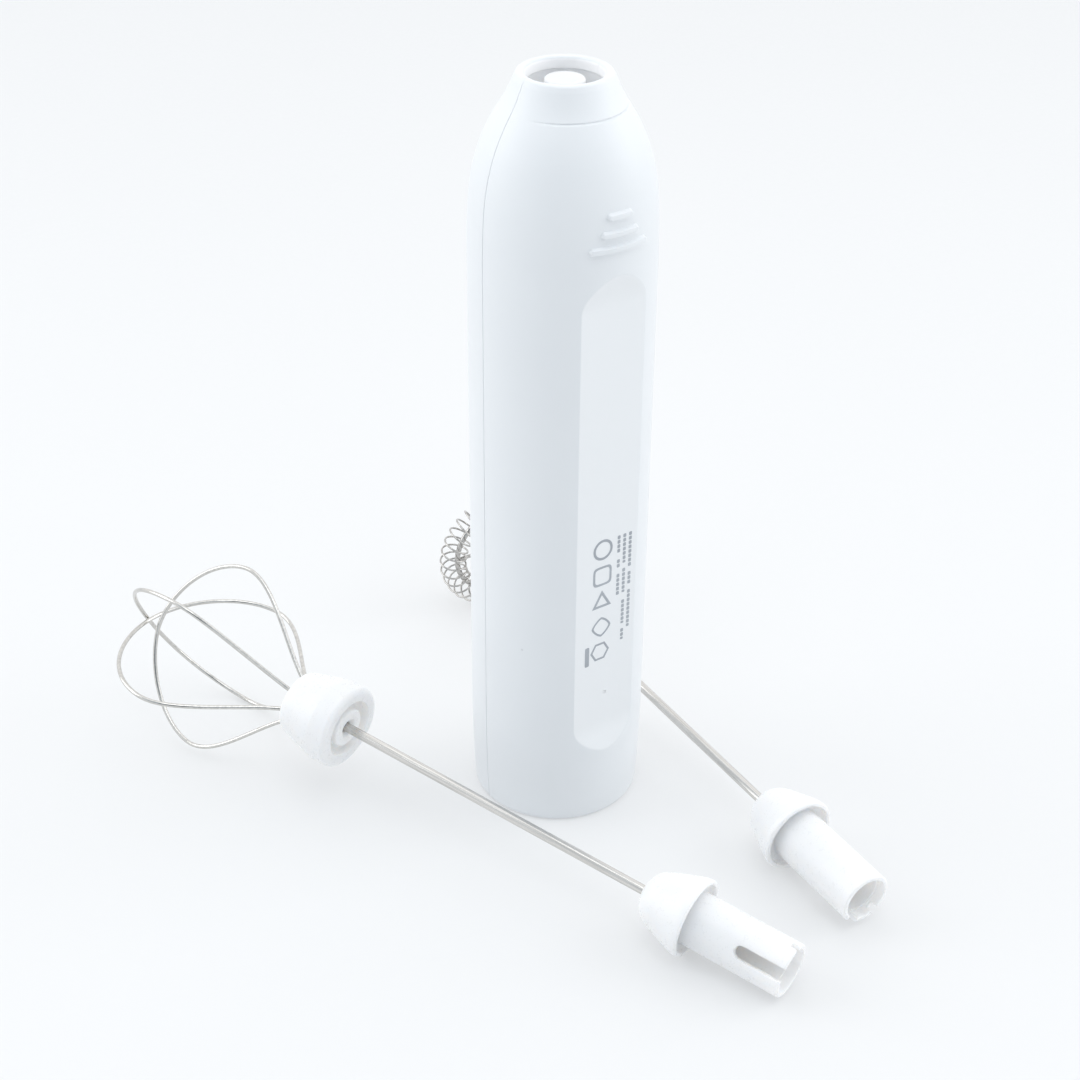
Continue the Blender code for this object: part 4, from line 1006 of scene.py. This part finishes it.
hub_outline = [(1.42, HUB_AT + 1.1), (2.4, HUB_AT + 0.35), (4.7, HUB_AT + 0.35), (4.7, HUB_AT + 2.5), (7.0, HUB_AT + 2.5), (7.0, HUB_AT), (HUB_R, HUB_AT),
               (HUB_R, HUB_AT + 5.2), (9.6, HUB_AT + 8.0), (8.6, HUB_AT + 11.8), (HUB_NECK_R, HUB_AT + HUB_L), (0, HUB_AT + HUB_L), (0, HUB_AT + 8.4), (1.42, HUB_AT + 8.4)]
hub_radii = [0.1, 0.3, 0.5, 0.9, 0.9, 0.35, 1.3, 1.3, 0.8, 0.8, 1.1, 0, 0, 0]
hub_mesh = lathe("hub", fillet(hub_outline, hub_radii, step=math.radians(7)), 144)
hub_cuts = []
for wire_name, (node, *spec) in LOOPS.items():
    path = loop_path(*spec)
    wire = sweep(wire_name, path, WIRE_R - 0.03, sides=24)
    paint(new_object(wire_name, wire, "whisk_attachment", (node,), WHISK, sharp=50), "wire")
    for leg in (path[:14], path[-14:][::-1]):
        first = leg[0] + (leg[0] - leg[1]) / np.linalg.norm(leg[0] - leg[1]) * 0.6
        hub_cuts.append(sweep("wire_hole", np.vstack([first, leg[1:]]), WIRE_R + 0.12, sides=20))
# painted fill light: the recess in the hub face is marked for a partly lighter colour that lifts its shade
hub_mesh = mark_painted_fill_light(apply_boolean(hub_mesh, hub_cuts), lambda r, z: 0.7 * ((r > 1.3) & (r < 7.3) & (z > HUB_AT + 0.2) & (z < HUB_AT + 4.2)))
paint(new_object("whisk_head_hub", hub_mesh, "whisk_attachment", ("whisk_hub",), WHISK), "part")


def torus(name, major, minor, z, nu=200, nv=20):
    a = np.linspace(0, 2 * np.pi, nu, endpoint=False)
    path = np.stack([major * np.cos(a), major * np.sin(a), np.full(nu, z)], 1)
    return sweep(name, path, minor, sides=nv, closed=True)


ring_mesh = torus("ring", RING_R, RING_WIRE_R, RING_AT)
boss = lathe("boss", fillet([(0, RING_AT - 4.2), (2.3, RING_AT - 4.2), (2.3, RING_AT + 1.4), (0, RING_AT + 1.4)], [0, 0.4, 0.5, 0]), 64)
ring_mesh = apply_boolean(ring_mesh, [cylinder("spoke", (-RING_R, 0, RING_AT), (RING_R, 0, RING_AT), 0.5, 24), boss], "UNION")
ring_mesh = apply_boolean(ring_mesh, [cylinder("bore", (0, 0, RING_AT - 6), (0, 0, RING_AT - 2.0), ROD_R + 0.12, 40)])
paint(new_object("frother_core_ring", ring_mesh, "frother_attachment", ("frother_ring",), FROTHER), "coil")

per_turn = 40
count = COIL_TURNS * per_turn
ia = 2 * np.pi * np.arange(count) / count
ib = 2 * np.pi * np.arange(count) / per_turn
major = COIL_OUT - 0.3 - COIL_R
rad = major + COIL_R * np.cos(ib)
coil_path = np.stack([rad * np.cos(ia), rad * np.sin(ia), RING_AT + COIL_R * np.sin(ib)], 1)
coil_mesh = sweep("frother_spring", coil_path, COIL_WIRE_R - 0.02, sides=12, closed=True)
paint(new_object("frother_spring", coil_mesh, "frother_attachment", ("frother_coil",), FROTHER, sharp=60), "coil")

# =========================================================================================================
# Stage, light and camera
# =========================================================================================================
turn = Matrix.Rotation(math.radians(VIEW_TURN), 4, "Z")


def floor_material():
    m = Nodes("pale_floor")
    cloud = m.noise(3.0, detail=3.0)
    base = m.mix(m.range(cloud, 0.0, 1.0, 0.3, 0.7), (0.468, 0.474, 0.481), (0.474, 0.480, 0.486))
    m.colour(base)
    m.rough(m.range(m.noise(400.0), 0.55, 0.65, 0.3, 0.7))
    m.set(Specular_IOR_Level=0.2, Emission_Color=(0.985, 0.995, 1.0, 1.0), Emission_Strength=0.35)
    return m.mat


floor = bpy.data.objects.new("floor", mesh_from("floor", [(-4, -4, 0), (4, -4, 0), (4, 4, 0), (-4, 4, 0)], [(0, 1, 2, 3)]))
bpy.context.scene.collection.objects.link(floor)
floor.data.materials.append(floor_material())

world = bpy.data.worlds.new("studio")
bpy.context.scene.world = world
world.use_nodes = True
wt = world.node_tree
wt.nodes.clear()
w_out = wt.nodes.new("ShaderNodeOutputWorld")
w_bg = wt.nodes.new("ShaderNodeBackground")
w_geo = wt.nodes.new("ShaderNodeTexCoord")
w_dot = wt.nodes.new("ShaderNodeVectorMath")
w_dot.operation = "DOT_PRODUCT"
toward = (turn @ Vector((0.0, -0.87, 0.50))).normalized()
w_dot.inputs[1].default_value = toward
w_ramp = wt.nodes.new("ShaderNodeValToRGB")
w_ramp.color_ramp.interpolation = "EASE"
stops = ((0.0, 1.0), (0.50, 0.98), (0.76, 0.90), (0.93, 0.65), (0.968, 0.54), (0.985, 0.10), (1.0, 0.03))
while len(w_ramp.color_ramp.elements) < len(stops):
    w_ramp.color_ramp.elements.new(0.5)
for el, (pos, val) in zip(w_ramp.color_ramp.elements, stops):
    el.position = pos
    cool = 1.0 - val  # the dark side of the room is a little bluer
    el.color = (val * (0.99 - 0.20 * cool), val * 0.995, val * (1.0 + 0.20 * cool), 1.0)
w_map = wt.nodes.new("ShaderNodeMapRange")
w_map.inputs["From Min"].default_value = -1.0
w_map.inputs["From Max"].default_value = 1.0
wt.links.new(w_geo.outputs["Generated"], w_dot.inputs[0])
wt.links.new(w_dot.outputs["Value"], w_map.inputs["Value"])
wt.links.new(w_map.outputs["Result"], w_ramp.inputs["Fac"])
wt.links.new(w_ramp.outputs["Color"], w_bg.inputs["Color"])
w_bg.inputs["Strength"].default_value = 1.14
wt.links.new(w_bg.outputs[0], w_out.inputs["Surface"])


def softbox(name, at, look, size, power, colour=(1, 1, 1)):
    light = bpy.data.lights.new(name, "AREA")
    light.shape = "RECTANGLE"
    light.size, light.size_y = size
    light.energy = power
    light.color = colour
    obj = bpy.data.objects.new(name, light)
    bpy.context.scene.collection.objects.link(obj)
    at, look = turn @ Vector(at), turn @ Vector(look)
    obj.matrix_world = Matrix.Translation(at) @ (look - at).to_track_quat("-Z", "Y").to_matrix().to_4x4()
    return obj


softbox("left_softbox", (-0.95, 0.05, 0.55), (0, 0, 0.06), (0.7, 0.9), 2.8)
softbox("right_softbox", (0.95, 0.10, 0.55), (0, 0, 0.06), (0.7, 0.9), 2.8)
softbox("top_softbox", (0.0, 0.15, 1.15), (0, 0, 0.0), (0.9, 0.9), 0.9)
softbox("shoulder_softbox", (0.0, -0.22, 0.62), (0, 0, 0.15), (0.35, 0.35), 0.5)
softbox("low_fill", (0.0, -0.42, 0.10), (0, 0, 0.02), (0.5, 0.12), 0.05)

pitch, roll, yaw = (math.radians(v) for v in (CAM_PITCH, CAM_ROLL, CAM_YAW))
fwd = Vector((math.sin(yaw) * math.cos(pitch), math.cos(yaw) * math.cos(pitch), -math.sin(pitch)))
right = Vector((math.cos(yaw), -math.sin(yaw), 0.0))
up = right.cross(fwd)
r2 = right * math.cos(roll) + up * math.sin(roll)
u2 = up * math.cos(roll) - right * math.sin(roll)
cam_data = bpy.data.cameras.new("camera")
cam_data.sensor_width = 36.0
cam_data.sensor_fit = "AUTO"
cam_data.lens = CAM_FOCAL_PX / FRAME_PX * 36.0
cam_data.clip_start, cam_data.clip_end = 0.01, 20.0
camera = bpy.data.objects.new("camera", cam_data)
bpy.context.scene.collection.objects.link(camera)
camera.matrix_world = turn @ Matrix.Translation(Vector(CAM_AT) * MM) @ Matrix((r2, u2, -fwd)).transposed().to_4x4()
bpy.context.scene.camera = camera

bpy.context.scene.view_settings.view_transform = "Standard"
bpy.context.scene.view_settings.look = "None"

bpy.context.view_layer.update()
